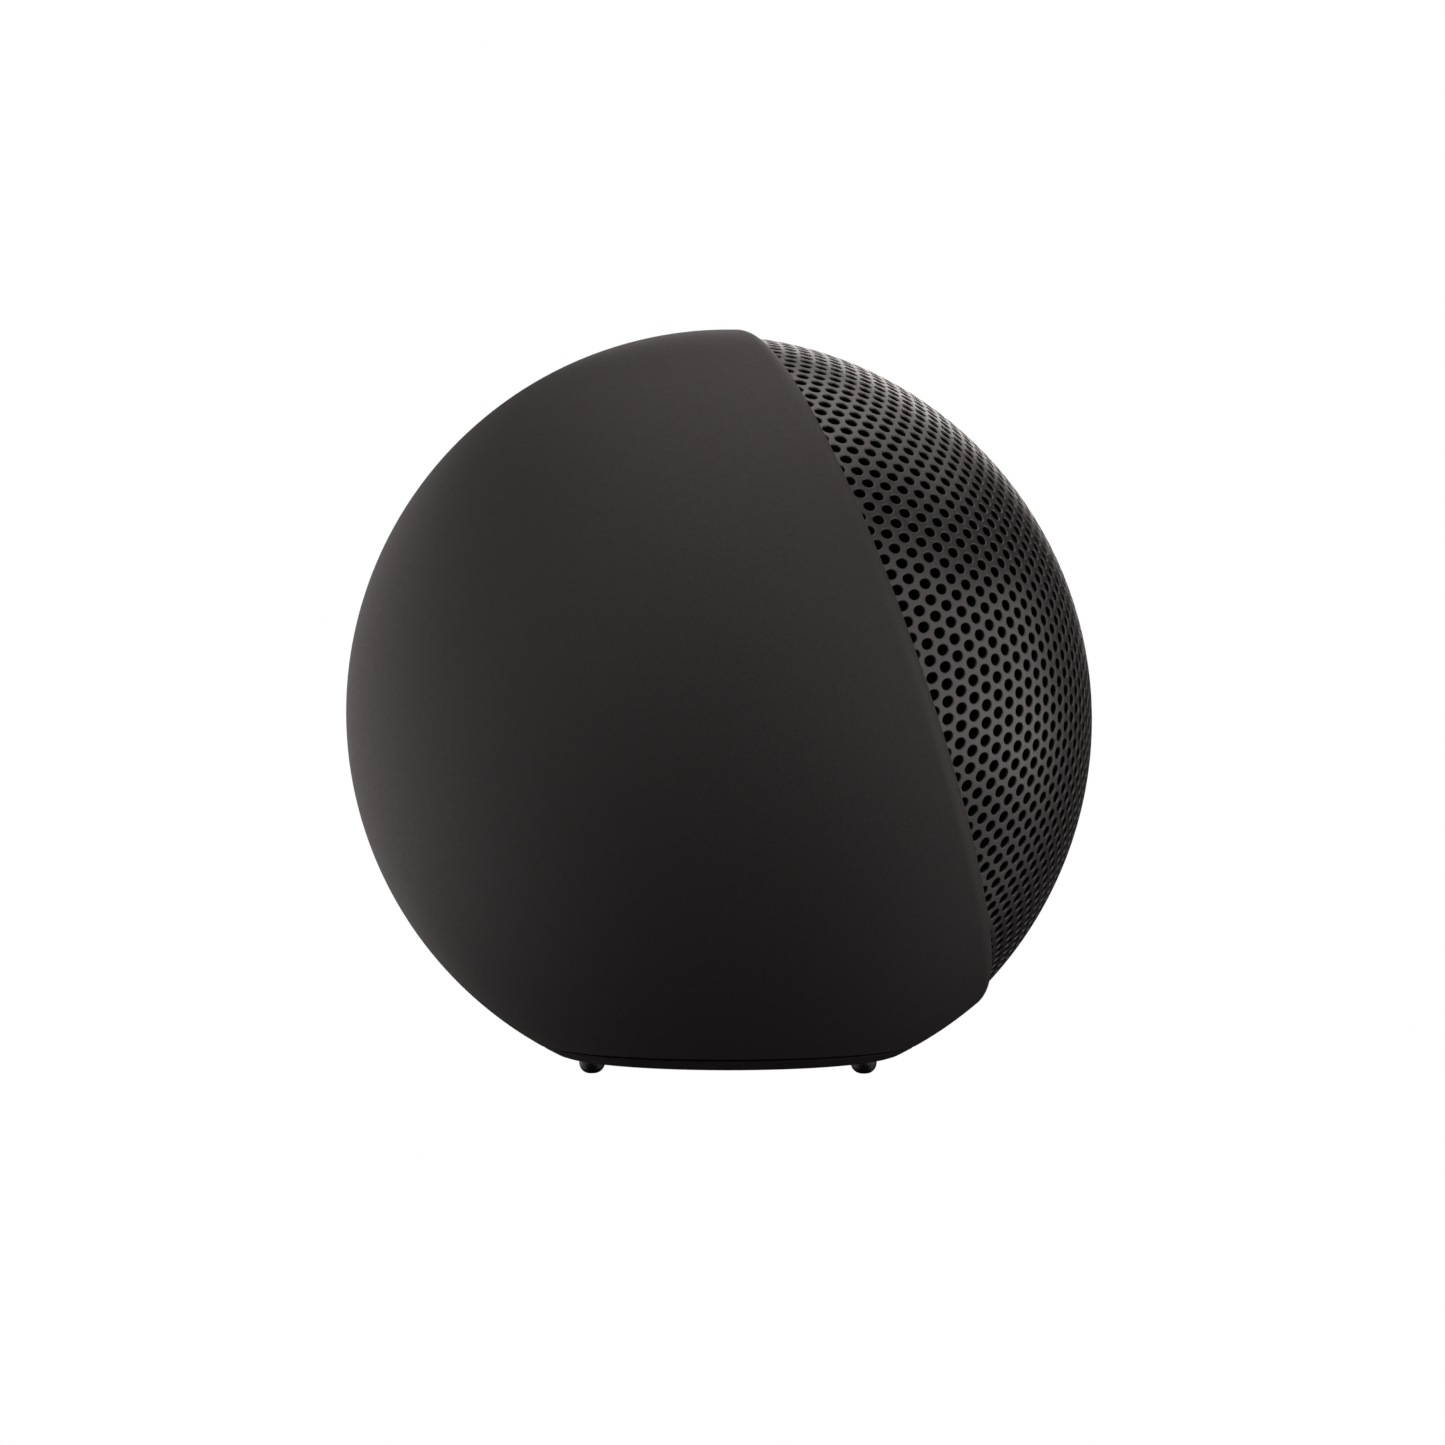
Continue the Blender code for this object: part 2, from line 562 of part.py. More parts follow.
def base_pieces(axis):
    top_r = radius_at(SPHERE_R, SPHERE_Z - BASE_PLATE_TOP)
    bottom_r = radius_at(SPHERE_R, BASE_CUT)
    plate = [(0.0, FOOT_HEIGHT), (bottom_r, FOOT_HEIGHT), (top_r, BASE_PLATE_TOP), (21.85, BASE_PLATE_TOP),
             (21.85, 5.0), (20.3, 5.0), (20.3, 3.9), (0.0, 3.9)]
    base = turned("base_plate", plate, axis, "frame_plastic", BODY_SEGMENTS)
    screw_spots = on_circle(BASE_SCREW_CIRCLE, DIAGONALS)
    foot_spots = [(x, y) for x in (-FOOT_X, FOOT_X) for y in (-FOOT_Y, FOOT_Y)]
    combine(base, posts("base_counterbores", screw_spots, 0.0, 2.9, 2.3, axis), "DIFFERENCE")
    combine(base, posts("base_screw_holes", screw_spots, 0.0, 6.0, 1.3, axis, 8), "DIFFERENCE")
    combine(base, posts("base_foot_recesses", foot_spots, 0.0, 2.7, 1.75, axis), "DIFFERENCE")
    weight = [(0.0, 4.2), (20.0, 4.2), (20.0, 5.3), (23.5, 5.3), (23.5, 9.6), (23.1, 10.0), (0.0, 10.0)]
    ballast = turned("ballast_weight", weight, axis, "cast_steel", BODY_SEGMENTS)
    combine(ballast, posts("ballast_pilot_holes", screw_spots, 3.0, 9.2, 1.25, axis, 8), "DIFFERENCE")
    for index, spot in enumerate(screw_spots, 1):
        screw(f"base_screw_{index}", spot, 2.75, 8.6, 2.0, 1.0, axis)
    for index, spot in enumerate(foot_spots, 1):
        cap = arc((FOOT_R - FOOT_ROUND, FOOT_ROUND), FOOT_ROUND, -90, 0, 3)
        body = [(0.0, 0.0)] + cap + [(FOOT_R, 2.4), (0.0, 2.4)]
        turned(f"foot_{index}", body, axis, "soft_rubber", SMALL_SEGMENTS, (*spot, 0.0))


# Assembly -------------------------------------------------------------------------------------------------


def build():
    for old in list(bpy.data.objects):
        bpy.data.objects.remove(old, do_unlink=True)
    front_turn = Euler((math.pi / 2 - FRONT_TILT, 0.0, 0.0))
    control_turn = Euler((-CONTROL_LEAN, 0.0, 0.0))
    front_axis = axis_empty("front_axis", front_turn)
    control_axis = axis_empty("control_axis", control_turn)
    base_axis = axis_empty("base_axis", location=(0.0, SPHERE_Y, 0.0))
    button_axes = []
    for index, turn in enumerate((0, 90, 180, 270), 1):
        button_axes.append(leaning_axis(f"button_axis_{index}", BUTTON_SPREAD, turn))
    mic_axes = []
    for index, turn in enumerate((225, 315), 1):
        mic_axes.append(leaning_axis(f"mic_axis_{index}", MIC_SPREAD, turn))
    rear_shell(front_axis, control_axis, button_axes, mic_axes, base_axis)
    front_pieces(front_axis)
    driver_pieces(front_axis)
    electronics(front_axis)
    controls(control_axis, button_axes, mic_axes)
    button_ribbon(base_axis)
    base_pieces(base_axis)


def leaning_axis(name, spread, turn):
    """An axis through the sphere's centre, leaning by spread from the control axis towards turn."""
    lean = Matrix.Rotation(math.radians(turn), 3, "Z") @ Matrix.Rotation(spread, 3, "Y")
    rotation = Euler((-CONTROL_LEAN, 0.0, 0.0)).to_matrix() @ lean
    return axis_empty(name, rotation.to_euler())


build()
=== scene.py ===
"""Looks of the ball-shaped smart speaker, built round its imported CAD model.

The shell, perforated dome, cloth, keys, base, feet, screws and power inlet are rebuilt finely here;
the pieces inside keep their CAD shape and get their finish.
"""

import json
import math

import bmesh
import bpy
import numpy as np
from mathutils import Matrix, Vector


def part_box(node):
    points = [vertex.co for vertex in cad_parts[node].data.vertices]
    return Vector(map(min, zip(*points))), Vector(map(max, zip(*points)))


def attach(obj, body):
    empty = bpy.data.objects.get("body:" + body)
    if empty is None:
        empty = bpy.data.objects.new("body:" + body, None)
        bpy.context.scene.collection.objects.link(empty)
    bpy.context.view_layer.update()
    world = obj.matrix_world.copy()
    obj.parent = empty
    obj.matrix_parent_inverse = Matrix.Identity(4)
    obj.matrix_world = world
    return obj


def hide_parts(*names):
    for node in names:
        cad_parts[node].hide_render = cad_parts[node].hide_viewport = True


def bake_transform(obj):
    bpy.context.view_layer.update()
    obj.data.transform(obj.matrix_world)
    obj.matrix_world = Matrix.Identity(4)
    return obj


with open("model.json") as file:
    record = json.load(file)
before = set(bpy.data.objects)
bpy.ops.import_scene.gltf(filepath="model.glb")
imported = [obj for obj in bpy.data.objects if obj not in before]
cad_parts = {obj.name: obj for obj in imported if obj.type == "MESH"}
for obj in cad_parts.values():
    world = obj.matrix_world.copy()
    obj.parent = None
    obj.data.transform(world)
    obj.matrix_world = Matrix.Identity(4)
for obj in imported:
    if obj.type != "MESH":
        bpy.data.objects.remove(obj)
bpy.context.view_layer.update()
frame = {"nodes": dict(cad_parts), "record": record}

MM = 0.001


# Places read from the frame --------------------------------------------------------------------------------

SHELL_LOW, SHELL_HIGH = (Vector(corner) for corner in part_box("rear_shell"))
BASE_LOW, BASE_HIGH = (Vector(corner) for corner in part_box("base_plate"))
SPHERE_R = SHELL_HIGH.x
CENTRE = Vector((0.0, (BASE_LOW.y + BASE_HIGH.y) / 2, SHELL_HIGH.z - SPHERE_R))
JOINTS = {joint["name"]: joint for joint in frame["record"]["behaviour"]["joints"]}
FRONT = Vector(JOINTS["cone_travel"]["axis"]).normalized()
KEYS = ("volume_up", "action", "volume_down", "mute")
KEY_AXES = {key: Vector(JOINTS[f"{key}_press"]["axis"]).normalized() for key in KEYS}
CONTROL = sum(KEY_AXES.values(), Vector()).normalized()

# Driving dimensions of the visible pieces, in metres
GRILLE_R = 50.2 * MM
GRILLE_SETBACK = 2.85 * MM
GRILLE_THICKNESS = 0.8 * MM
SEAM_HEIGHT = 18.2 * MM
LIP_ROUND = 2.9 * MM
LIP_CLEARANCE = 0.06 * MM
SHELF_HEIGHT = 15.9 * MM
WALL = 2.2 * MM
HOLE_PITCH = 2.179 * MM
HOLE_R = 0.70 * MM
HOLE_EDGE = 0.16 * MM
HOLE_SIDES = 18
KEY_R = 3.0 * MM
KEY_PROUD = 0.35 * MM
KEY_TOP = SPHERE_R + KEY_PROUD
KEY_HOLE_R = 3.28 * MM
MIC_SPREAD = math.radians(16.0)
MIC_HOLE_R = 0.5 * MM
LIGHT_HOLE_R = 1.15 * MM
SMALL_FILLET = 0.1 * MM
OPENING_R = 22.2 * MM
FOOT_R = 1.6 * MM
SHELL_SEGMENTS = 224
BASE_SEGMENTS = 160


def ball_radius(height):
    """Radius of the ball's level section at a height above the ground."""
    return math.sqrt(SPHERE_R**2 - (CENTRE.z - height) ** 2)


# Meshes ----------------------------------------------------------------------------------------------------


def axis_frame(axis, origin=CENTRE):
    """Matrix whose local Z is the axis and whose local X stays level."""
    z = Vector(axis).normalized()
    x = Vector((1.0, 0.0, 0.0))
    x = (x - z * x.dot(z)).normalized()
    y = z.cross(x)
    made = Matrix((x, y, z)).transposed().to_4x4()
    made.translation = origin
    return made


FRONT_FRAME = axis_frame(FRONT)
CONTROL_FRAME = axis_frame(CONTROL)
BASE_FRAME = Matrix.Translation((CENTRE.x, CENTRE.y, 0.0))


def new_object(name, mesh):
    obj = bpy.data.objects.new(name, mesh)
    bpy.context.scene.collection.objects.link(obj)
    return obj


def mesh_from(name, shape, matrix=None, sharp=35.0):
    """Turns a bmesh in local metres into an object whose mesh is placed by the matrix."""
    bmesh.ops.recalc_face_normals(shape, faces=shape.faces)
    mesh = bpy.data.meshes.new(name)
    shape.to_mesh(mesh)
    shape.free()
    if matrix is not None:
        mesh.transform(matrix)
    mesh.shade_smooth()
    mesh.set_sharp_from_angle(angle=math.radians(sharp))
    return new_object(name, mesh)


def add_turned(shape, profile, segments):
    """Turns (radius, height) points about local Z; a profile off the axis closes on itself."""
    rings = []
    for radius, height in profile:
        if radius < 1e-9:
            rings.append([shape.verts.new((0.0, 0.0, height))] * segments)
            continue
        turn = [2 * math.pi * step / segments for step in range(segments)]
        rings.append([shape.verts.new((radius * math.cos(a), radius * math.sin(a), height)) for a in turn])
    pairs = list(zip(rings, rings[1:]))
    if profile[0][0] >= 1e-9:
        pairs.append((rings[-1], rings[0]))
    for low, high in pairs:
        for step in range(segments):
            after = (step + 1) % segments
            corners = list(dict.fromkeys((low[step], low[after], high[after], high[step])))
            if len(corners) > 2:
                shape.faces.new(corners)


def turned(name, profile, matrix, segments=96, sharp=35.0):
    shape = bmesh.new()
    add_turned(shape, profile, segments)
    return mesh_from(name, shape, matrix, sharp)


def add_skin(shape, sections):
    """Skins loops of points, all with the same number of points, and closes both ends."""
    loops = [[shape.verts.new(point) for point in section] for section in sections]
    for low, high in zip(loops, loops[1:]):
        for step in range(len(low)):
            after = (step + 1) % len(low)
            shape.faces.new((low[step], low[after], high[after], high[step]))
    shape.faces.new(loops[0])
    shape.faces.new(loops[-1])


def lofted(name, sections, matrix):
    """Skins outlines of (x, y) points, each with its height."""
    shape = bmesh.new()
    add_skin(shape, [[(x, y, height) for x, y in outline] for outline, height in sections])
    return mesh_from(name, shape, matrix)


def arc(centre, radius, start, end, steps):
    """Points of (radius, height) on an arc, both ends included, angles in degrees."""
    points = []
    for step in range(steps + 1):
        angle = math.radians(start + (end - start) * step / steps)
        points.append((centre[0] + radius * math.cos(angle), centre[1] + radius * math.sin(angle)))
    return points


def rounded_rectangle(width, height, radius, corner_steps=8):
    """Outline of (x, y) points round the origin, anticlockwise, with a quarter circle at each corner."""
    points = []
    for quarter, (sx, sy) in enumerate(((1, 1), (-1, 1), (-1, -1), (1, -1))):
        for step in range(corner_steps + 1):
            angle = math.pi / 2 * (quarter + step / corner_steps)
            x = sx * (width / 2 - radius) + radius * math.cos(angle)
            y = sy * (height / 2 - radius) + radius * math.sin(angle)
            points.append((x, y))
    return points


def cut(obj, tool):
    """Cuts the tool out of obj with an exact Boolean, and removes the tool."""
    step = obj.modifiers.new("cut", "BOOLEAN")
    step.operation = "DIFFERENCE"
    step.solver = "EXACT"
    step.object = tool
    bpy.context.view_layer.update()
    depsgraph = bpy.context.evaluated_depsgraph_get()
    made = bpy.data.meshes.new_from_object(obj.evaluated_get(depsgraph))
    obj.modifiers.clear()
    old = obj.data
    obj.data = made
    bpy.data.meshes.remove(old)
    bpy.data.objects.remove(tool, do_unlink=True)


def sphere_normals(obj, centre, radius, tolerance=2e-6):
    """Points on the sphere shade with the sphere's own normal, so cuts leave no dents in the highlight."""
    mesh = obj.data
    places = np.empty(len(mesh.vertices) * 3)
    mesh.vertices.foreach_get("co", places)
    places = places.reshape(-1, 3)
    normals = np.empty(len(mesh.vertices) * 3)
    mesh.vertices.foreach_get("normal", normals)
    normals = normals.reshape(-1, 3)
    out = places - np.array(centre)
    reach = np.linalg.norm(out, axis=1)
    on_sphere = np.abs(reach - radius) < tolerance
    loops = np.empty(len(mesh.loops), int)
    mesh.loops.foreach_get("vertex_index", loops)
    corner_normals = np.array([corner.vector for corner in mesh.corner_normals])
    radial = out / np.maximum(reach, 1e-9)[:, None]
    chosen = on_sphere[loops] & ((corner_normals * radial[loops]).sum(1) > 0.8)
    corner_normals[chosen] = radial[loops][chosen]
    mesh.normals_split_custom_set(corner_normals.tolist())


# Materials -------------------------------------------------------------------------------------------------


FINISHES = {}


class Finish:
    """A node material on a Principled shader, with helpers for grain, mottling and bump."""

    def __init__(self, name, colour, roughness, metallic=0.0, **sockets):
        material = bpy.data.materials.new(name)
        material.use_nodes = True
        FINISHES[name] = material
        self.nodes = material.node_tree.nodes
        self.links = material.node_tree.links
        self.shader = self.nodes["Principled BSDF"]
        self.shader.inputs["Base Color"].default_value = (*colour, 1.0)
        self.shader.inputs["Roughness"].default_value = roughness
        self.shader.inputs["Metallic"].default_value = metallic
        for socket, value in sockets.items():
            self.shader.inputs[socket.replace("_", " ")].default_value = value
        self.place = self.nodes.new("ShaderNodeTexCoord").outputs["Object"]
        self.normal = None

    def noise(self, scale, detail=2.0, roughness=0.5, stretch=None):
        texture = self.nodes.new("ShaderNodeTexNoise")
        texture.inputs["Scale"].default_value = scale
        texture.inputs["Detail"].default_value = detail
        texture.inputs["Roughness"].default_value = roughness
        source = self.place
        if stretch:
            mapping = self.nodes.new("ShaderNodeMapping")
            mapping.inputs["Scale"].default_value = stretch
            self.links.new(source, mapping.inputs["Vector"])
            source = mapping.outputs["Vector"]
        self.links.new(source, texture.inputs["Vector"])
        return texture.outputs["Fac"]

    def cells(self, scale, feature="F1"):
        texture = self.nodes.new("ShaderNodeTexVoronoi")
        texture.feature = feature
        texture.inputs["Scale"].default_value = scale
        self.links.new(self.place, texture.inputs["Vector"])
        return texture.outputs["Distance"]

    def waves(self, scale, direction="X"):
        texture = self.nodes.new("ShaderNodeTexWave")
        texture.bands_direction = direction
        texture.inputs["Scale"].default_value = scale
        self.links.new(self.place, texture.inputs["Vector"])
        return texture.outputs["Fac"]

    def ramp(self, source, low, high):
        """Source from 0.3 to 0.7, where most of a noise lies, mapped onto low to high."""
        span = self.nodes.new("ShaderNodeMapRange")
        span.inputs["From Min"].default_value = 0.3
        span.inputs["From Max"].default_value = 0.7
        span.inputs["To Min"].default_value = low
        span.inputs["To Max"].default_value = high
        self.links.new(source, span.inputs["Value"])
        return span.outputs["Result"]

    def mottle(self, source, dark, light):
        """The colour drifts between dark and light with source."""
        mix = self.nodes.new("ShaderNodeMix")
        mix.data_type = "RGBA"
        mix.inputs["A"].default_value = (*dark, 1.0)
        mix.inputs["B"].default_value = (*light, 1.0)
        self.links.new(self.ramp(source, 0.0, 1.0), mix.inputs["Factor"])
        self.links.new(mix.outputs["Result"], self.shader.inputs["Base Color"])
        return self

    def rough(self, source, low, high):
        """The roughness drifts between low and high with source."""
        self.links.new(self.ramp(source, low, high), self.shader.inputs["Roughness"])
        return self

    def bump(self, source, strength, distance):
        """Fine relief of a height in metres, on top of any relief already there."""
        node = self.nodes.new("ShaderNodeBump")
        node.inputs["Strength"].default_value = strength
        node.inputs["Distance"].default_value = distance
        self.links.new(source, node.inputs["Height"])
        if self.normal:
            self.links.new(self.normal, node.inputs["Normal"])
        self.normal = node.outputs["Normal"]
        self.links.new(self.normal, self.shader.inputs["Normal"])
        return self


def shade(colour, factor):
    return tuple(channel * factor for channel in colour)


def make_finishes():
    shell = (0.0330, 0.0302, 0.0305)
    look = Finish("shell_plastic", shell, 0.5, Specular_IOR_Level=0.45)
    look.mottle(look.noise(2400.0, 3.0), shade(shell, 0.93), shade(shell, 1.07))
    look.rough(look.noise(1800.0, 4.0), 0.59, 0.65)
    look.bump(look.cells(5200.0), 0.22, 0.00003).bump(look.noise(2600.0, 5.0, 0.65), 0.25, 0.00004)

    paint = (0.0350, 0.0327, 0.0327)
    look = Finish("grille_paint", paint, 0.32, Specular_IOR_Level=0.78)
    look.mottle(look.noise(7000.0, 3.0), shade(paint, 0.86), shade(paint, 1.14))
    look.rough(look.noise(1500.0, 3.0), 0.28, 0.36)
    look.bump(look.noise(5200.0, 4.0, 0.6), 0.30, 0.00003)

    # Painted shade for the holes' deep walls: near-black, darker than the grille's own paint
    look = Finish("bore_painted_shade", (0.0050, 0.0047, 0.0047), 0.7, Specular_IOR_Level=0.15)
    look.mottle(look.noise(5000.0), (0.0042, 0.0040, 0.0040), (0.0058, 0.0054, 0.0054))

    look = Finish("acoustic_cloth", (0.0025, 0.0025, 0.0026), 0.95, Specular_IOR_Level=0.1)
    look.mottle(look.noise(4000.0), (0.0018, 0.0018, 0.0019), (0.0034, 0.0034, 0.0035))
    look.bump(look.waves(1500.0, "X"), 0.5, 0.00006).bump(look.waves(1500.0, "Z"), 0.5, 0.00006)

    black = (0.0270, 0.0248, 0.0250)
    look = Finish("frame_plastic", black, 0.5)
    look.mottle(look.noise(120.0), shade(black, 0.9), shade(black, 1.1))
    look.rough(look.noise(800.0, 3.0), 0.46, 0.56)
    look.bump(look.noise(3200.0, 4.0), 0.2, 0.00003)

    look = Finish("foam", (0.03, 0.03, 0.03), 0.95)
    look.mottle(look.noise(2500.0), (0.022, 0.022, 0.022), (0.04, 0.04, 0.04))
    look.bump(look.cells(1800.0), 0.6, 0.0002)

    look = Finish("pressed_steel", (0.07, 0.07, 0.075), 0.38, 0.6)
    look.mottle(look.noise(300.0), (0.06, 0.06, 0.064), (0.08, 0.08, 0.086))
    look.rough(look.noise(600.0), 0.32, 0.45).bump(look.noise(2500.0), 0.15, 0.00004)

    look = Finish("plated_steel", (0.50, 0.50, 0.51), 0.28, 1.0)
    look.mottle(look.noise(500.0, 4.0), (0.44, 0.44, 0.46), (0.56, 0.56, 0.56))
    look.rough(look.noise(1200.0, 3.0, stretch=(1.0, 1.0, 8.0)), 0.2, 0.38)
    look.bump(look.noise(2600.0), 0.12, 0.00003)

    look = Finish("ferrite", (0.045, 0.045, 0.05), 0.5, 0.1)
    look.mottle(look.noise(900.0, 5.0), (0.035, 0.035, 0.038), (0.06, 0.06, 0.066))
    look.bump(look.noise(1500.0, 6.0), 0.4, 0.0001)

    look = Finish("copper_winding", (0.62, 0.27, 0.11), 0.3, 1.0)
    look.mottle(look.noise(900.0), (0.55, 0.22, 0.08), (0.68, 0.32, 0.14))
    look.bump(look.waves(2200.0, "Z"), 0.5, 0.0001)

    look = Finish("cone_paper", (0.024, 0.024, 0.025), 0.8)
    look.mottle(look.noise(1200.0, 5.0, 0.7), (0.018, 0.018, 0.019), (0.034, 0.034, 0.035))
    look.bump(look.noise(1600.0, 6.0, 0.7), 0.5, 0.0001)

    rubber = (0.0085, 0.0083, 0.0083)
    look = Finish("soft_rubber", rubber, 0.38)
    look.mottle(look.noise(400.0), shade(rubber, 0.85), shade(rubber, 1.15))
    look.rough(look.noise(700.0, 3.0), 0.30, 0.44)
    look.bump(look.noise(3000.0), 0.12, 0.00003)

    look = Finish("spider_cloth", (0.46, 0.29, 0.11), 0.9)
    look.mottle(look.noise(1500.0), (0.38, 0.23, 0.08), (0.52, 0.34, 0.14))
    look.bump(look.waves(1200.0, "X"), 0.6, 0.0001).bump(look.waves(1200.0, "Z"), 0.6, 0.0001)

    look = Finish("circuit_board", (0.008, 0.10, 0.045), 0.32)
    look.mottle(look.noise(350.0, 6.0, 0.8), (0.006, 0.075, 0.032), (0.012, 0.14, 0.06))
    look.rough(look.noise(500.0), 0.25, 0.4).bump(look.cells(500.0), 0.25, 0.00005)

    look = Finish("component_black", (0.018, 0.018, 0.018), 0.45)
    look.mottle(look.noise(800.0), (0.014, 0.014, 0.014), (0.024, 0.024, 0.024))
    look.bump(look.noise(2500.0), 0.25, 0.00004)

    look = Finish("cast_aluminium", (0.58, 0.58, 0.60), 0.42, 1.0)
    look.mottle(look.noise(400.0, 4.0), (0.50, 0.50, 0.52), (0.64, 0.64, 0.66))
    look.rough(look.noise(900.0, 3.0), 0.34, 0.52).bump(look.noise(1500.0, 4.0), 0.2, 0.00006)

    look = Finish("cast_steel", (0.18, 0.18, 0.19), 0.55, 0.9)
    look.mottle(look.noise(250.0, 5.0), (0.13, 0.13, 0.14), (0.24, 0.24, 0.25))
    look.bump(look.noise(900.0, 6.0, 0.7), 0.4, 0.00015)

    look = Finish("light_pipe", (0.62, 0.64, 0.66), 0.35)
    look.mottle(look.noise(700.0), (0.58, 0.60, 0.62), (0.66, 0.68, 0.70))
    look.rough(look.noise(900.0), 0.3, 0.42)

    look = Finish("wire_jacket", (0.22, 0.018, 0.018), 0.45)
    look.mottle(look.noise(600.0), (0.18, 0.014, 0.014), (0.26, 0.024, 0.024))
    look.bump(look.noise(2000.0), 0.1, 0.00004)

    look = Finish("ribbon_film", (0.62, 0.36, 0.10), 0.3)
    look.mottle(look.waves(500.0, "X"), (0.50, 0.26, 0.06), (0.70, 0.44, 0.15))
    look.rough(look.noise(800.0), 0.22, 0.38)

    look = Finish("key_print", (0.30, 0.29, 0.285), 0.6)
    look.mottle(look.noise(3000.0), (0.26, 0.25, 0.245), (0.34, 0.33, 0.325))

    look = Finish("contact_gold", (0.85, 0.62, 0.25), 0.25, 1.0)
    look.mottle(look.noise(3000.0), (0.78, 0.55, 0.2), (0.9, 0.68, 0.3))


make_finishes()


def dress(obj, finish, body="casing", replaces=()):
    """Gives a piece its finish and its body, and hides the CAD nodes that it stands for.

    A piece that lies between two bodies is given none, and is left without one.
    """
    obj.data.materials.clear()
    obj.data.materials.append(FINISHES[finish])
    if body:
        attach(obj, body)
    if replaces:
        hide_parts(*replaces)
    return obj


# Shell -----------------------------------------------------------------------------------------------------


def seam_radius(height, clearance=0.0):
    """Radius of the grille's outer surface at a height along the front axis."""
    return math.sqrt((GRILLE_R + clearance) ** 2 - (height + GRILLE_SETBACK) ** 2)


def shell_profile():
    """From the rear pole over the outside, round the lip, under it to the shelf, and back inside."""
    edge = Vector((seam_radius(SEAM_HEIGHT, LIP_CLEARANCE), SEAM_HEIGHT))
    inset = SPHERE_R - LIP_ROUND
    spread = math.acos((inset**2 + edge.length_squared - LIP_ROUND**2) / (2 * inset * edge.length))
    tangent = math.degrees(math.atan2(edge.y, edge.x) - spread)
    centre = (inset * math.cos(math.radians(tangent)), inset * math.sin(math.radians(tangent)))
    end = math.degrees(math.atan2(edge.y - centre[1], edge.x - centre[0]))
    outside = arc((0.0, 0.0), SPHERE_R, -90, tangent, 84)
    lip = arc(centre, LIP_ROUND, tangent, end, 14)
    drop = 0.12 * MM
    nose = [(edge.x - drop * 0.2, edge.y - drop)]
    levels = [SEAM_HEIGHT + (SHELF_HEIGHT - SEAM_HEIGHT) * share for share in (0.3, 0.65, 1.0)]
    under_clearance = 0.1 * MM
    under = [(seam_radius(level, under_clearance), level) for level in levels]
    inner_r = SPHERE_R - WALL
    shelf_r = math.sqrt(inner_r**2 - SHELF_HEIGHT**2)
    start = math.degrees(math.asin(SHELF_HEIGHT / inner_r))
    inside = arc((0.0, 0.0), inner_r, start, -90, 40)
    profile = outside + lip[1:] + nose + under + [(shelf_r, SHELF_HEIGHT)] + inside[1:]
    profile[0] = (0.0, profile[0][1])
    profile[-1] = (0.0, profile[-1][1])
    return profile


def hole_tool(name, radius, axis, fillet=0.18 * MM, segments=64):
    """A cutter for a round hole through the shell whose rim is rounded over."""
    surface = SPHERE_R - radius**2 / (2 * SPHERE_R)
    rim = arc((radius + fillet, surface - fillet), fillet, 180, 96, 6)
    bottom = 44 * MM
    top = SPHERE_R + 2 * MM
    profile = [(0.0, bottom), (radius, bottom)] + rim + [(radius + 2.2 * fillet, top), (0.0, top)]
    return turned(name, profile, axis_frame(axis), segments)


def mic_axes():
    """The two microphone holes, ahead of the keys and to each side."""
    axes = []
    for turn in (225, 315):
        lean = Matrix.Rotation(math.radians(turn), 3, "Z") @ Matrix.Rotation(MIC_SPREAD, 3, "Y")
        axes.append(CONTROL_FRAME.to_3x3() @ lean @ Vector((0.0, 0.0, 1.0)))
    return axes


def port_tool():
    """A cutter for the power inlet's opening on the rear pole, with a rounded rim."""
    width, height, corner = 9.6 * MM, 3.8 * MM, 1.85 * MM
    fillet = 0.25 * MM
    sections = []
    for spread, level in arc((fillet, -SPHERE_R + fillet), fillet, 180, 264, 6):
        sections.append((rounded_rectangle(width + 2 * spread, height + 2 * spread, corner + spread), level))
    first = sections[0][0]
    last = rounded_rectangle(width + 2.6 * fillet, height + 2.6 * fillet, corner + 1.3 * fillet)
    sections = [(first, -45 * MM)] + sections + [(last, -SPHERE_R - 2 * MM)]
    return lofted("port_tool", sections, FRONT_FRAME)


def build_shell():
    shell = turned("shell", shell_profile(), FRONT_FRAME, SHELL_SEGMENTS)
    edge = SHELL_LOW.z
    edge_r = ball_radius(edge)
    bevel = 0.25 * MM
    floor = -5 * MM
    clear_r = 40 * MM
    opening_top = 12 * MM
    opening = [(0.0, floor), (clear_r, floor), (clear_r, edge - bevel), (edge_r + bevel, edge - bevel)]
    opening += [(edge_r - bevel * 0.2, edge), (OPENING_R, edge)]
    opening += [(OPENING_R, opening_top), (0.0, opening_top)]
    cut(shell, turned("opening_tool", opening, BASE_FRAME, BASE_SEGMENTS))
    for key, axis in KEY_AXES.items():
        cut(shell, hole_tool(f"{key}_tool", KEY_HOLE_R, axis))
    for index, axis in enumerate(mic_axes()):
        cut(shell, hole_tool(f"mic_tool_{index}", MIC_HOLE_R, axis, SMALL_FILLET, 24))
    cut(shell, hole_tool("light_tool", LIGHT_HOLE_R, CONTROL, SMALL_FILLET, 32))
    cut(shell, port_tool())
    shell.data.set_sharp_from_angle(angle=math.radians(40))
    sphere_normals(shell, CENTRE, SPHERE_R)
    dress(shell, "shell_plastic", replaces=("rear_shell",))


# Perforated dome -------------------------------------------------------------------------------------------


def hexagon(pitch, sides):
    """Boundary points of a lattice cell; its corners lie at multiples of 60 degrees from local X."""
    points = []
    for step in range(sides):
        angle = 2 * math.pi * step / sides
        off = (math.degrees(angle) % 60.0) - 30.0
        reach = pitch / 2 / math.cos(math.radians(off))
        points.append((reach * math.cos(angle), reach * math.sin(angle)))
    return np.array(points)


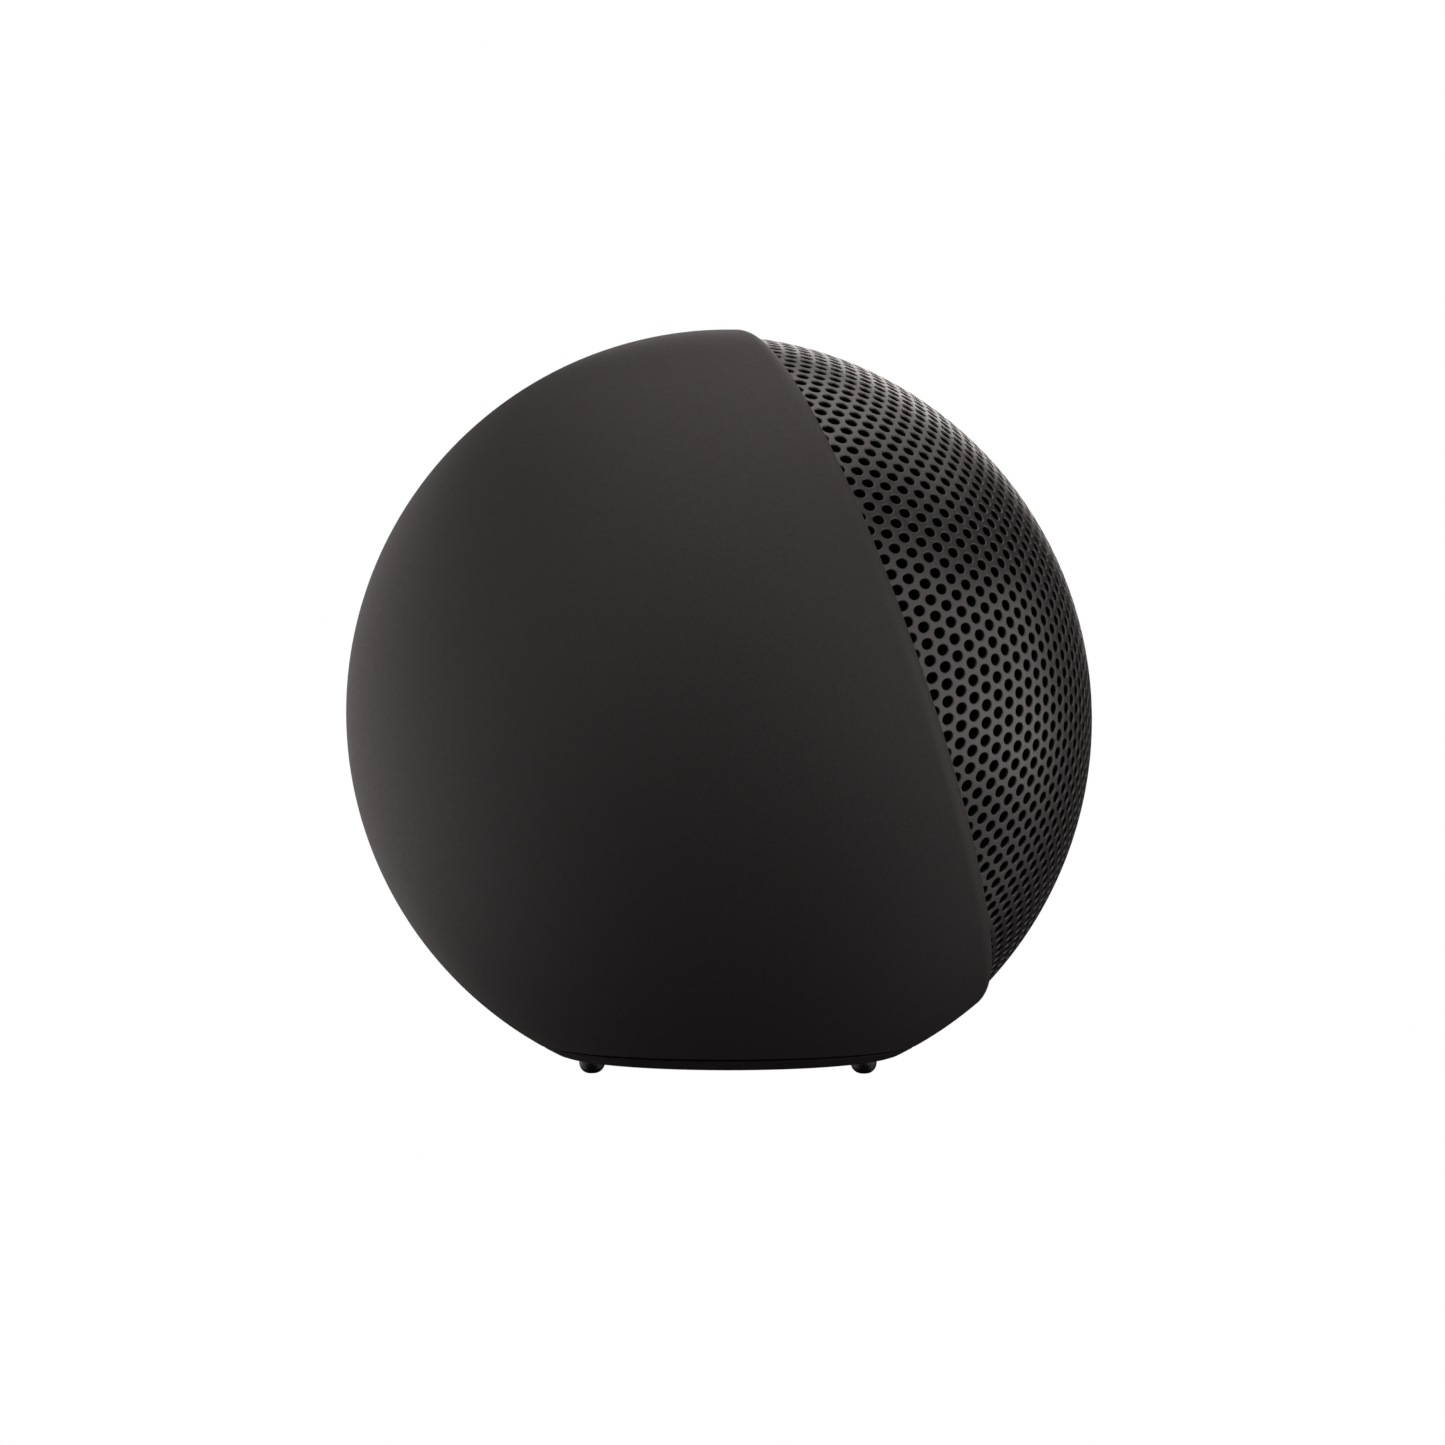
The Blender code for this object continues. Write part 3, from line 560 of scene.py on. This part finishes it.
def lattice(pitch, reach):
    """Centres of a staggered pattern of holes.

    One column lies on the mirror plane, and the pole lies midway between two of its holes.
    """
    columns = int(reach / (pitch * math.sqrt(3) / 2)) + 2
    rows = int(reach / pitch) + 2
    centres = []
    for column in range(-columns, columns + 1):
        shift = 0.5 if column % 2 == 0 else 0.0
        for row in range(-rows, rows + 1):
            centres.append((column * pitch * math.sqrt(3) / 2, (row + shift) * pitch))
    return np.array(centres)


def on_dome(flat, depth):
    """Maps flat sheet points to the dome: distances from the pole are kept along its meridians.

    Returns the places and the dome's outward directions there.
    """
    reach = np.hypot(flat[:, 0], flat[:, 1])
    turn = np.arctan2(flat[:, 1], flat[:, 0])
    polar = reach / GRILLE_R
    radial = np.stack([np.sin(polar) * np.cos(turn), np.sin(polar) * np.sin(turn), np.cos(polar)], 1)
    return radial * (GRILLE_R - depth)[:, None] - np.array([0.0, 0.0, GRILLE_SETBACK]), radial


def build_grille():
    """A steel dome with a rounded hole in every cell that shows, and solid metal under the shell's lip."""
    seam = math.acos((SEAM_HEIGHT + GRILLE_SETBACK) / GRILLE_R) * GRILLE_R
    edge = math.acos((SHELF_HEIGHT + 0.2 * MM + GRILLE_SETBACK) / GRILLE_R) * GRILLE_R
    centres = lattice(HOLE_PITCH, edge + HOLE_PITCH)
    cell = hexagon(HOLE_PITCH, HOLE_SIDES)
    keep = np.hypot(*centres.T) < edge + 0.3 * HOLE_PITCH
    centres = centres[keep]
    open_cell = np.hypot(*centres.T) < seam + HOLE_R + HOLE_EDGE

    corners = (centres[:, None, :] + cell[None]).reshape(-1, 2)
    keys = np.round(corners / (HOLE_PITCH * 1e-3)).astype(int)
    _, first, shared = np.unique(keys, axis=0, return_index=True, return_inverse=True)
    rim = corners[first]
    reach = np.hypot(*rim.T)
    rim *= np.minimum(1.0, edge / np.maximum(reach, 1e-9))[:, None]
    shared = shared.reshape(-1, HOLE_SIDES)

    angles = 2 * math.pi * np.arange(HOLE_SIDES) / HOLE_SIDES
    circle = np.stack([np.cos(angles), np.sin(angles)], 1)
    soft = 1 - math.sqrt(0.5)
    rings = [(HOLE_R + HOLE_EDGE, 0.0, 0.0), (HOLE_R + soft * HOLE_EDGE, soft * HOLE_EDGE, 45.0),
             (HOLE_R, HOLE_EDGE, 90.0), (HOLE_R, GRILLE_THICKNESS, 90.0)]
    holes = centres[open_cell]
    count = len(rim)
    flats = [rim, rim]
    depths = [np.zeros(count), np.full(count, GRILLE_THICKNESS)]
    tilts = [np.zeros(count), np.full(count, 180.0)]
    towards = [np.zeros((count, 2)), np.zeros((count, 2))]
    for radius, depth, tilt in rings:
        flats.append((holes[:, None] + radius * circle[None]).reshape(-1, 2))
        depths.append(np.full(len(holes) * HOLE_SIDES, depth))
        tilts.append(np.full(len(holes) * HOLE_SIDES, tilt))
        towards.append(np.tile(-circle, (len(holes), 1)))
    flat = np.concatenate(flats)
    places, radial = on_dome(flat, np.concatenate(depths))
    towards = np.concatenate(towards)
    inward, _ = on_dome(flat + towards * 1e-6, np.concatenate(depths))
    inward = inward - places
    inward /= np.maximum(np.linalg.norm(inward, axis=1), 1e-12)[:, None]
    tilt = np.radians(np.concatenate(tilts))[:, None]
    normals = radial * np.cos(tilt) + inward * np.sin(tilt)

    faces = []
    painted_shade_faces = []
    ring_start = [2 * count + index * len(holes) * HOLE_SIDES for index in range(len(rings))]
    around = np.arange(HOLE_SIDES)
    after = (around + 1) % HOLE_SIDES
    hole_number = 0
    edge_use = {}
    for number, opened in enumerate(open_cell):
        loop = shared[number]
        if opened:
            bore = [start + hole_number * HOLE_SIDES + around for start in ring_start]
            hoops = [loop] + bore + [loop + count]
            for outer, inner in zip(hoops, hoops[1:]):
                # The deep wall of each hole is marked for the painted shade finish
                painted_shade_faces += [inner is bore[-1]] * HOLE_SIDES
                faces += np.stack([outer[around], outer[after], inner[after], inner[around]], 1).tolist()
            hole_number += 1
        else:
            ring = list(dict.fromkeys(loop.tolist()))
            if not (np.hypot(*rim[ring].T) < edge * 0.99999).any():
                continue
            faces.append(ring)
            faces.append([v + count for v in reversed(ring)])
            painted_shade_faces += [False, False]
        for a, b in zip(loop, np.roll(loop, -1)):
            pair = (min(a, b), max(a, b))
            edge_use[pair] = None if pair in edge_use else (int(a), int(b))
    for pair in edge_use.values():
        if pair:
            faces.append([pair[1], pair[0], pair[0] + count, pair[1] + count])
            painted_shade_faces.append(False)

    mesh = bpy.data.meshes.new("perforated_grille")
    mesh.from_pydata(places.tolist(), [], faces)
    mesh.shade_smooth()
    mesh.transform(FRONT_FRAME)
    turn = np.array(FRONT_FRAME.to_3x3())
    mesh.normals_split_custom_set_from_vertices((normals @ turn.T).tolist())
    grille = dress(new_object("perforated_grille", mesh), "grille_paint", replaces=("front_grille",))
    # The deep walls of the holes take the near-black painted shade finish
    grille.data.materials.append(FINISHES["bore_painted_shade"])
    mesh.polygons.foreach_set("material_index", painted_shade_faces)


def domed_sheet(outer, inner):
    """Closed profile between an arc that ends on the axis and an arc that starts there."""
    outer_side = [(0.0, outer[-1][1])] + list(reversed(outer[:-1]))
    inner_side = list(reversed(inner[1:])) + [(0.0, inner[0][1])]
    return outer_side + inner_side


def build_cloth():
    """The black cloth that shows through the holes, cut as a disc and stretched over a former."""
    radius = GRILLE_R - GRILLE_THICKNESS - 0.2 * MM
    thickness = 0.25 * MM
    limit = math.degrees(math.asin((SEAM_HEIGHT + GRILLE_SETBACK) / radius))
    centre = (0.0, -GRILLE_SETBACK)
    outer = arc(centre, radius, limit, 90, 28)
    inner = arc(centre, radius - thickness, 90, limit, 28)
    cloth = turned("acoustic_mesh", domed_sheet(outer, inner), FRONT_FRAME, 120)
    dress(cloth, "acoustic_cloth", replaces=("acoustic_cloth",))


# Keys, light and microphones -------------------------------------------------------------------------------


def key_profile():
    """Domed cap with a rounded shoulder, a flange that keeps it in, and a pin for the switch."""
    top = KEY_TOP
    soft = 0.45 * MM
    start = math.degrees(math.acos((KEY_R - soft) / top))
    dome = arc((0.0, 0.0), top, 90, start, 8)
    dome[0] = (0.0, top)
    level = dome[-1][1]
    shoulder = arc((KEY_R - soft, level - soft), soft, 90 - (90 - start) * 0.5, 0, 8)
    flange_r, flange_top, flange_low = 3.9 * MM, 46.9 * MM, 46.0 * MM
    flange = [(KEY_R, flange_top), (flange_r, flange_top), (flange_r, flange_low), (1.2 * MM, flange_low)]
    pin = [(1.2 * MM, 45.0 * MM), (0.8 * MM, 44.7 * MM), (0.0, 44.6 * MM)]
    return dome + shoulder + flange + pin


def build_keys():
    for key, axis in KEY_AXES.items():
        body = f"{key}_key"
        cap = turned(f"{key}_cap", key_profile(), axis_frame(axis), 72)
        dress(cap, "shell_plastic", body, replaces=(frame["record"]["behaviour"]["bodies"][body][0],))
        mark = bmesh.new()
        KEY_MARKS[key](mark)
        printed = mesh_from(f"{key}_mark", mark, axis_frame(axis), 60.0)
        dress(printed, "key_print", body)


def add_print(shape, outline):
    """Raised print with an outline of (x, y) points, let a little into the key's top."""
    levels = (KEY_TOP - 0.06 * MM, KEY_TOP + 0.02 * MM)
    add_skin(shape, [[(x, y, level) for x, y in outline] for level in levels])


def add_bar(shape, length, width, turn=0.0):
    spin = Matrix.Rotation(turn, 2)
    add_print(shape, [spin @ Vector(point) for point in rounded_rectangle(length, width, width * 0.45, 4)])


def add_hoop(shape, radius, width):
    low, high = KEY_TOP - 0.07 * MM, KEY_TOP + 0.015 * MM
    inner, outer = radius - width / 2, radius + width / 2
    add_turned(shape, [(inner, low), (outer, low), (outer, high), (inner, high)], 48)


def mark_plus(shape):
    """One outline with twelve corners, so that its bars don't overlap."""
    reach, half = 1.05 * MM, 0.17 * MM
    outline = [(half, half), (half, reach), (-half, reach), (-half, half)]
    outline += [(-reach, half), (-reach, -half), (-half, -half), (-half, -reach)]
    outline += [(half, -reach), (half, -half), (reach, -half), (reach, half)]
    add_print(shape, outline)


def mark_minus(shape):
    add_bar(shape, 2.1 * MM, 0.34 * MM)


def mark_action(shape):
    low, high = KEY_TOP - 0.06 * MM, KEY_TOP + 0.015 * MM
    radius = 0.5 * MM
    add_turned(shape, [(0.0, low), (radius, low), (radius, high), (0.0, high)], 36)


def mark_mute(shape):
    add_hoop(shape, 1.0 * MM, 0.24 * MM)
    add_bar(shape, 1.5 * MM, 0.24 * MM, math.radians(45))


KEY_MARKS = {"volume_up": mark_plus, "volume_down": mark_minus, "action": mark_action, "mute": mark_mute}


def build_light():
    """Light pipe with a flange under the shell and a rounded end in its hole."""
    low, top = 41.7 * MM, SPHERE_R - 0.05 * MM
    rod_r, flange_r, flange_low, flange_top = 1.0 * MM, 1.8 * MM, 45.3 * MM, 46.3 * MM
    pipe = [(0.0, low), (rod_r, low), (rod_r, flange_low), (flange_r, flange_low)]
    pipe += [(flange_r, flange_top), (rod_r, flange_top), (rod_r, top - 0.2 * MM)]
    pipe += [(0.92 * MM, top - 0.06 * MM), (0.7 * MM, top), (0.0, top)]
    light = turned("status_light", pipe, CONTROL_FRAME, 40)
    dress(light, "light_pipe", replaces=("status_light_pipe",))


# Power inlet -----------------------------------------------------------------------------------------------


def build_inlet():
    """Rear-pole inlet: deep-drawn tube, moulded tongue and two rows of contact strips."""
    outer = rounded_rectangle(9.0 * MM, 3.2 * MM, 1.55 * MM)
    inner = rounded_rectangle(8.4 * MM, 2.6 * MM, 1.25 * MM)
    lead_in = rounded_rectangle(8.7 * MM, 2.9 * MM, 1.4 * MM)
    sections = [(inner, -43.2 * MM), (inner, -49.15 * MM), (lead_in, -49.3 * MM)]
    sections += [(outer, -49.2 * MM), (outer, -42.0 * MM)]
    tube = lofted("inlet_tube", sections, FRONT_FRAME)
    dress(tube, "plated_steel", replaces=("usb_socket",))
    front = rounded_rectangle(6.3 * MM, 0.4 * MM, 0.2 * MM)
    body = rounded_rectangle(6.7 * MM, 0.7 * MM, 0.3 * MM)
    sections = [(body, -43.1 * MM), (body, -48.3 * MM), (front, -48.6 * MM)]
    tongue = lofted("inlet_tongue", sections, FRONT_FRAME)
    dress(tongue, "component_black")
    strips = bmesh.new()
    per_row, spacing = 12, 0.5 * MM
    size = Matrix.Diagonal((0.24 * MM, 0.05 * MM, 2.8 * MM, 1.0))
    for row in (-1, 1):
        for place in range(per_row):
            across = (place - (per_row - 1) / 2) * spacing
            middle = Vector((across, row * 0.36 * MM, -46.6 * MM))
            bmesh.ops.create_cube(strips, size=1.0, matrix=Matrix.Translation(middle) @ size)
    contacts = mesh_from("inlet_contacts", strips, FRONT_FRAME)
    dress(contacts, "contact_gold")


# Base ------------------------------------------------------------------------------------------------------


def spots(kind):
    """Where the four CAD pieces of a kind stand on the ground plan."""
    found = []
    for index in range(1, 5):
        low, high = (Vector(corner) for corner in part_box(f"{kind}_{index}"))
        found.append(((low.x + high.x) / 2, (low.y + high.y) / 2))
    return found


def recess_tool(name, spot, radius, depth):
    """A cutter for a round recess in the base's underside, with a chamfered rim."""
    low = BASE_LOW.z
    chamfer = 0.2 * MM
    rim_r, below, end = radius + chamfer, low - 1 * MM, low + depth
    profile = [(0.0, below), (rim_r, below), (rim_r, low)]
    profile += [(radius, low + chamfer), (radius, end), (0.0, end)]
    return turned(name, profile, Matrix.Translation((*spot, 0.0)), 48)


def build_base():
    """Base plate that carries the ball's curve down to its flat, with recesses for feet and screws."""
    low = BASE_LOW.z
    top = SHELL_LOW.z - 0.25 * MM
    under_r = ball_radius(low)
    dish_r, dish = 7.0 * MM, 0.25 * MM
    profile = [(0.0, low + dish), (dish_r - 0.1 * MM, low + dish), (dish_r + 0.1 * MM, low)]
    profile += [(under_r - 0.25 * MM, low), (under_r - 0.05 * MM, low + 0.06 * MM)]
    side_low, side_high, side_steps = low + 0.2 * MM, top - 0.15 * MM, 6
    for step in range(side_steps + 1):
        height = side_low + (side_high - side_low) * step / side_steps
        profile.append((ball_radius(height), height))
    lip_r, lip_top = 21.85 * MM, 5.0 * MM
    inner_r, floor = 20.3 * MM, 3.9 * MM
    profile += [(ball_radius(side_high) - 0.12 * MM, top), (lip_r, top), (lip_r, lip_top)]
    profile += [(inner_r, lip_top), (inner_r, floor), (0.0, floor)]
    plate = turned("base_cover", profile, BASE_FRAME, BASE_SEGMENTS)
    for index, spot in enumerate(spots("foot")):
        cut(plate, recess_tool(f"foot_tool_{index}", spot, FOOT_R + 0.1 * MM, 1.2 * MM))
    for index, spot in enumerate(spots("base_screw")):
        cut(plate, recess_tool(f"screw_tool_{index}", spot, 2.3 * MM, 1.4 * MM))
    plate.data.set_sharp_from_angle(angle=math.radians(35))
    dress(plate, "frame_plastic", replaces=("base_plate",))
    for index, spot in enumerate(spots("foot"), 1):
        build_foot(index, spot)
    for index, spot in enumerate(spots("base_screw"), 1):
        build_base_screw(index, spot)


def build_foot(index, spot):
    """Round stud with a rounded end that is flat only at its tip."""
    tip, rise, top, steps = 0.3 * MM, 1.35 * MM, 2.4 * MM, 14
    turns = [math.pi / 2 * step / steps for step in range(steps + 1)]
    cap = [(tip + (FOOT_R - tip) * math.sin(turn), rise * (1 - math.cos(turn))) for turn in turns]
    profile = [(0.0, 0.0)] + cap + [(FOOT_R, top), (0.0, top)]
    foot = turned(f"rubber_foot_{index}", profile, Matrix.Translation((*spot, 0.0)), 48)
    dress(foot, "soft_rubber", replaces=(f"foot_{index}",))


def build_base_screw(index, spot):
    """Pan head with a six-lobed recess, and a plain shank."""
    head, low, top = 2.0 * MM, 1.56 * MM, 2.75 * MM
    shank_r, shank_end, tip = 1.0 * MM, 7.6 * MM, 8.6 * MM
    soft = 0.45 * MM
    crown = arc((head - soft, top - 0.6 * MM), soft, -80, 0, 6)
    profile = [(0.0, low), (head * 0.72, low)] + crown
    profile += [(head, top), (shank_r, top), (shank_r, shank_end), (0.0, tip)]
    place = Matrix.Translation((*spot, 0.0))
    screw = turned(f"base_screw_{index}_head", profile, place, 48)
    lobes = []
    lobe_steps = 72
    for step in range(lobe_steps):
        angle = 2 * math.pi * step / lobe_steps
        reach = (0.78 + 0.14 * math.cos(6 * angle)) * MM
        lobes.append((reach * math.cos(angle), reach * math.sin(angle)))
    cut(screw, lofted("lobe_tool", [(lobes, low - 1 * MM), (lobes, low + 0.7 * MM)], place))
    screw.data.set_sharp_from_angle(angle=math.radians(35))
    dress(screw, "plated_steel", replaces=(f"base_screw_{index}",))


# Driver ----------------------------------------------------------------------------------------------------


def ring_sector(name, profile, start, end, steps=3):
    """Sweeps a closed (radius, height) profile about the front axis between two angles.

    Both ends are closed.
    """
    sections = []
    for step in range(steps + 1):
        angle = start + (end - start) * step / steps
        sections.append([(r * math.cos(angle), r * math.sin(angle), height) for r, height in profile])
    shape = bmesh.new()
    add_skin(shape, sections)
    return mesh_from(name, shape, FRONT_FRAME, 50.0)


def surround_profile():
    """A half roll between the cone's rim and the flange, with a glue land on each side."""
    middle, roll, thickness, land = 19.6 * MM, 2.1 * MM, 0.4 * MM, 16.5 * MM
    outer_r, inner_r = 23.9 * MM, 16.2 * MM
    over = arc((middle, land + thickness), roll + thickness / 2, 0, 180, 16)
    under = arc((middle, land), roll - thickness / 2, 180, 0, 16)
    outer_land = [(outer_r, land), (outer_r, land + thickness)]
    inner_land = [(inner_r, land + thickness), (inner_r, land)]
    return outer_land + over + inner_land + under


def spider_profile():
    """A corrugated cloth disc from the coil to the landing in the basket."""
    inner, outer, base, thickness, waves = 9.2 * MM, 18.1 * MM, 4.5 * MM, 0.3 * MM, 4
    top, under = [], []
    for step in range(waves * 8 + 1):
        along = step / (waves * 8)
        fade = min(1.0, 6.0 * min(along, 1 - along))
        lift = 0.45 * MM * math.sin(2 * math.pi * waves * along) * fade
        radius = inner + (outer - inner) * along
        under.append((radius, base + lift))
        top.append((radius, base + lift + thickness))
    return under + list(reversed(top))


def build_flexible_ring(node, finish, profile, sectors=24):
    """A ring between the frame and the cone, built in sectors that have no body of their own.
    """
    for index in range(sectors):
        start, end = (2 * math.pi * step / sectors for step in (index, index + 1))
        piece = ring_sector(f"{node}_{index + 1:02d}", profile, start, end)
        dress(piece, finish, body=None, replaces=(node,))
        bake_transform(piece)


# Closed (radius, height) profiles about the front axis, in millimetres from the ball's centre
CONE_PROFILE = [(8.9, 9.0), (13.0, 11.9), (17.2, 15.3), (17.2, 15.9), (13.0, 12.5), (8.9, 9.6)]
COIL_PROFILE = [(8.1, -3.2), (8.9, -3.2), (8.9, 1.8), (8.6, 1.8), (8.6, 8.7), (8.1, 8.7)]


def dust_cap_profile():
    """A shallow dome over the coil, in millimetres like the profiles above."""
    rim, low, rise, thickness = 9.8, 10.6, 2.8, 0.4
    reach = (rim**2 + rise**2) / (2 * rise)
    middle = (0.0, low + rise - reach)
    sweep = math.degrees(math.asin(rim / reach))
    over = arc(middle, reach, 90 - sweep, 90, 12)
    under = arc(middle, reach - thickness, 90, 90 - sweep * 0.985, 12)
    return domed_sheet(over, under)


def build_on_cone(node, finish, profile):
    scaled = [(radius * MM, height * MM) for radius, height in profile]
    dress(turned(f"{node}_turned", scaled, FRONT_FRAME, 96), finish, "cone", replaces=(node,))


def build_driver():
    """The flexible rings lie between their fixed and their moving radius, with no body; the rest rides the
    cone.
    """
    build_flexible_ring("cone_surround", "soft_rubber", surround_profile())
    build_flexible_ring("driver_spider", "spider_cloth", spider_profile())
    build_on_cone("speaker_cone", "cone_paper", CONE_PROFILE)
    build_on_cone("voice_coil", "copper_winding", COIL_PROFILE)
    build_on_cone("dust_cap", "cone_paper", dust_cap_profile())


# Pieces inside ---------------------------------------------------------------------------------------------


def dress_inside():
    """Every CAD node that keeps its shape takes the finish of its slot."""
    slots = {entry["node"]: entry["material_slot"] for entry in frame["record"]["subparts"]}
    for node, obj in frame["nodes"].items():
        obj.data.materials.clear()
        obj.data.materials.append(FINISHES[slots[node]])


# Stage -----------------------------------------------------------------------------------------------------

# The camera's distance from the ball's centre in metres, how far under it and turned from square, its focal
# length in millimetres and its shift in picture widths
CAMERA_DISTANCE = 0.1803
CAMERA_BELOW = math.radians(8.99)
CAMERA_TURN = math.radians(0.67)
CAMERA_LENS = 33.03
CAMERA_SHIFT = (-0.00431, -0.00723)
FLOOR_R = 3.0


def build_camera():
    """Level with the lower part of the speaker, square to its left side, a little towards the grille."""
    level = math.cos(CAMERA_BELOW)
    way = Vector((-level * math.cos(CAMERA_TURN), -level * math.sin(CAMERA_TURN), -math.sin(CAMERA_BELOW)))
    data = bpy.data.cameras.new("camera")
    data.lens = CAMERA_LENS
    data.shift_x, data.shift_y = CAMERA_SHIFT
    data.clip_start = 0.01
    camera = new_object("camera", data)
    camera.location = CENTRE + way * CAMERA_DISTANCE
    camera.rotation_euler = (-way).to_track_quat("-Z", "Y").to_euler()
    bpy.context.scene.camera = camera


# Soft boxes round the object: the direction of each from the centre, its side in metres and its watts
SOFT_BOXES = {
    "overhead": ((0.0, 0.0, 1.0), 0.95, 1.9),
    "overhead_near": ((-0.6, 0.0, 0.8), 0.95, 2.4),
    "overhead_far": ((0.85, -0.13, 0.5), 0.6, 2.6),
    "rear": ((0.0, 1.0, 0.12), 0.95, 0.35),
    "rear_far": ((0.6, 0.8, 0.12), 0.95, 2.6),
    "rear_near": ((-0.7, 0.7, 0.15), 0.95, 1.3),
    "rear_low": ((0.0, 0.9, -0.35), 0.95, 1.8),
    "front": ((0.0, -1.0, 0.12), 0.6, 1.1),
    "front_near": ((-0.7, -0.7, 0.15), 0.95, 2.5),
    "front_high": ((0.2, -0.45, 0.9), 0.6, 0.65),
    "front_low": ((0.0, -0.9, -0.35), 0.95, 1.15),
}
SOFT_BOX_DISTANCE = 0.9
SOFT_BOX_COLOUR = (1.0, 0.945, 0.925)


def build_lights():
    for name, (direction, side, power) in SOFT_BOXES.items():
        way = Vector(direction).normalized()
        data = bpy.data.lights.new(name, "AREA")
        data.shape = "SQUARE"
        data.size = side
        data.energy = power
        data.color = SOFT_BOX_COLOUR
        light = new_object(name, data)
        light.location = CENTRE + way * SOFT_BOX_DISTANCE
        light.rotation_euler = (-way).to_track_quat("-Z", "Y").to_euler()


def build_studio():
    """A floor and surroundings of even white, which neither shade the object nor light it.

    The floor is clear from below, so that the base can be looked at.
    """
    floor_shape = bmesh.new()
    bmesh.ops.create_circle(floor_shape, cap_ends=True, segments=96, radius=FLOOR_R)
    floor = mesh_from("studio_floor", floor_shape)
    material = bpy.data.materials.new("studio_floor")
    material.use_nodes = True
    shader = material.node_tree.nodes["Principled BSDF"]
    shader.inputs["Base Color"].default_value = (0.0, 0.0, 0.0, 1.0)
    shader.inputs["Roughness"].default_value = 1.0
    shader.inputs["Specular IOR Level"].default_value = 0.0
    shader.inputs["Emission Color"].default_value = (1.0, 1.0, 1.0, 1.0)
    shader.inputs["Emission Strength"].default_value = 1.0
    side = material.node_tree.nodes.new("ShaderNodeNewGeometry")
    from_above = material.node_tree.nodes.new("ShaderNodeMath")
    from_above.operation = "SUBTRACT"
    from_above.inputs[0].default_value = 1.0
    material.node_tree.links.new(side.outputs["Backfacing"], from_above.inputs[1])
    material.node_tree.links.new(from_above.outputs["Value"], shader.inputs["Alpha"])
    floor.data.materials.append(material)
    floor.visible_diffuse = False
    floor.visible_glossy = False
    floor.visible_shadow = False
    world = bpy.data.worlds.new("studio")
    bpy.context.scene.world = world
    world.use_nodes = True
    world.node_tree.nodes["Background"].inputs["Color"].default_value = (1.0, 1.0, 1.0, 1.0)
    world.node_tree.nodes["Background"].inputs["Strength"].default_value = 1.0
    world.cycles_visibility.diffuse = False
    world.cycles_visibility.glossy = False
    bpy.context.scene.view_settings.view_transform = "Standard"


# Build -----------------------------------------------------------------------------------------------------

dress_inside()
build_shell()
build_grille()
build_cloth()
build_keys()
build_light()
build_inlet()
build_base()
build_driver()
build_camera()
build_lights()
build_studio()
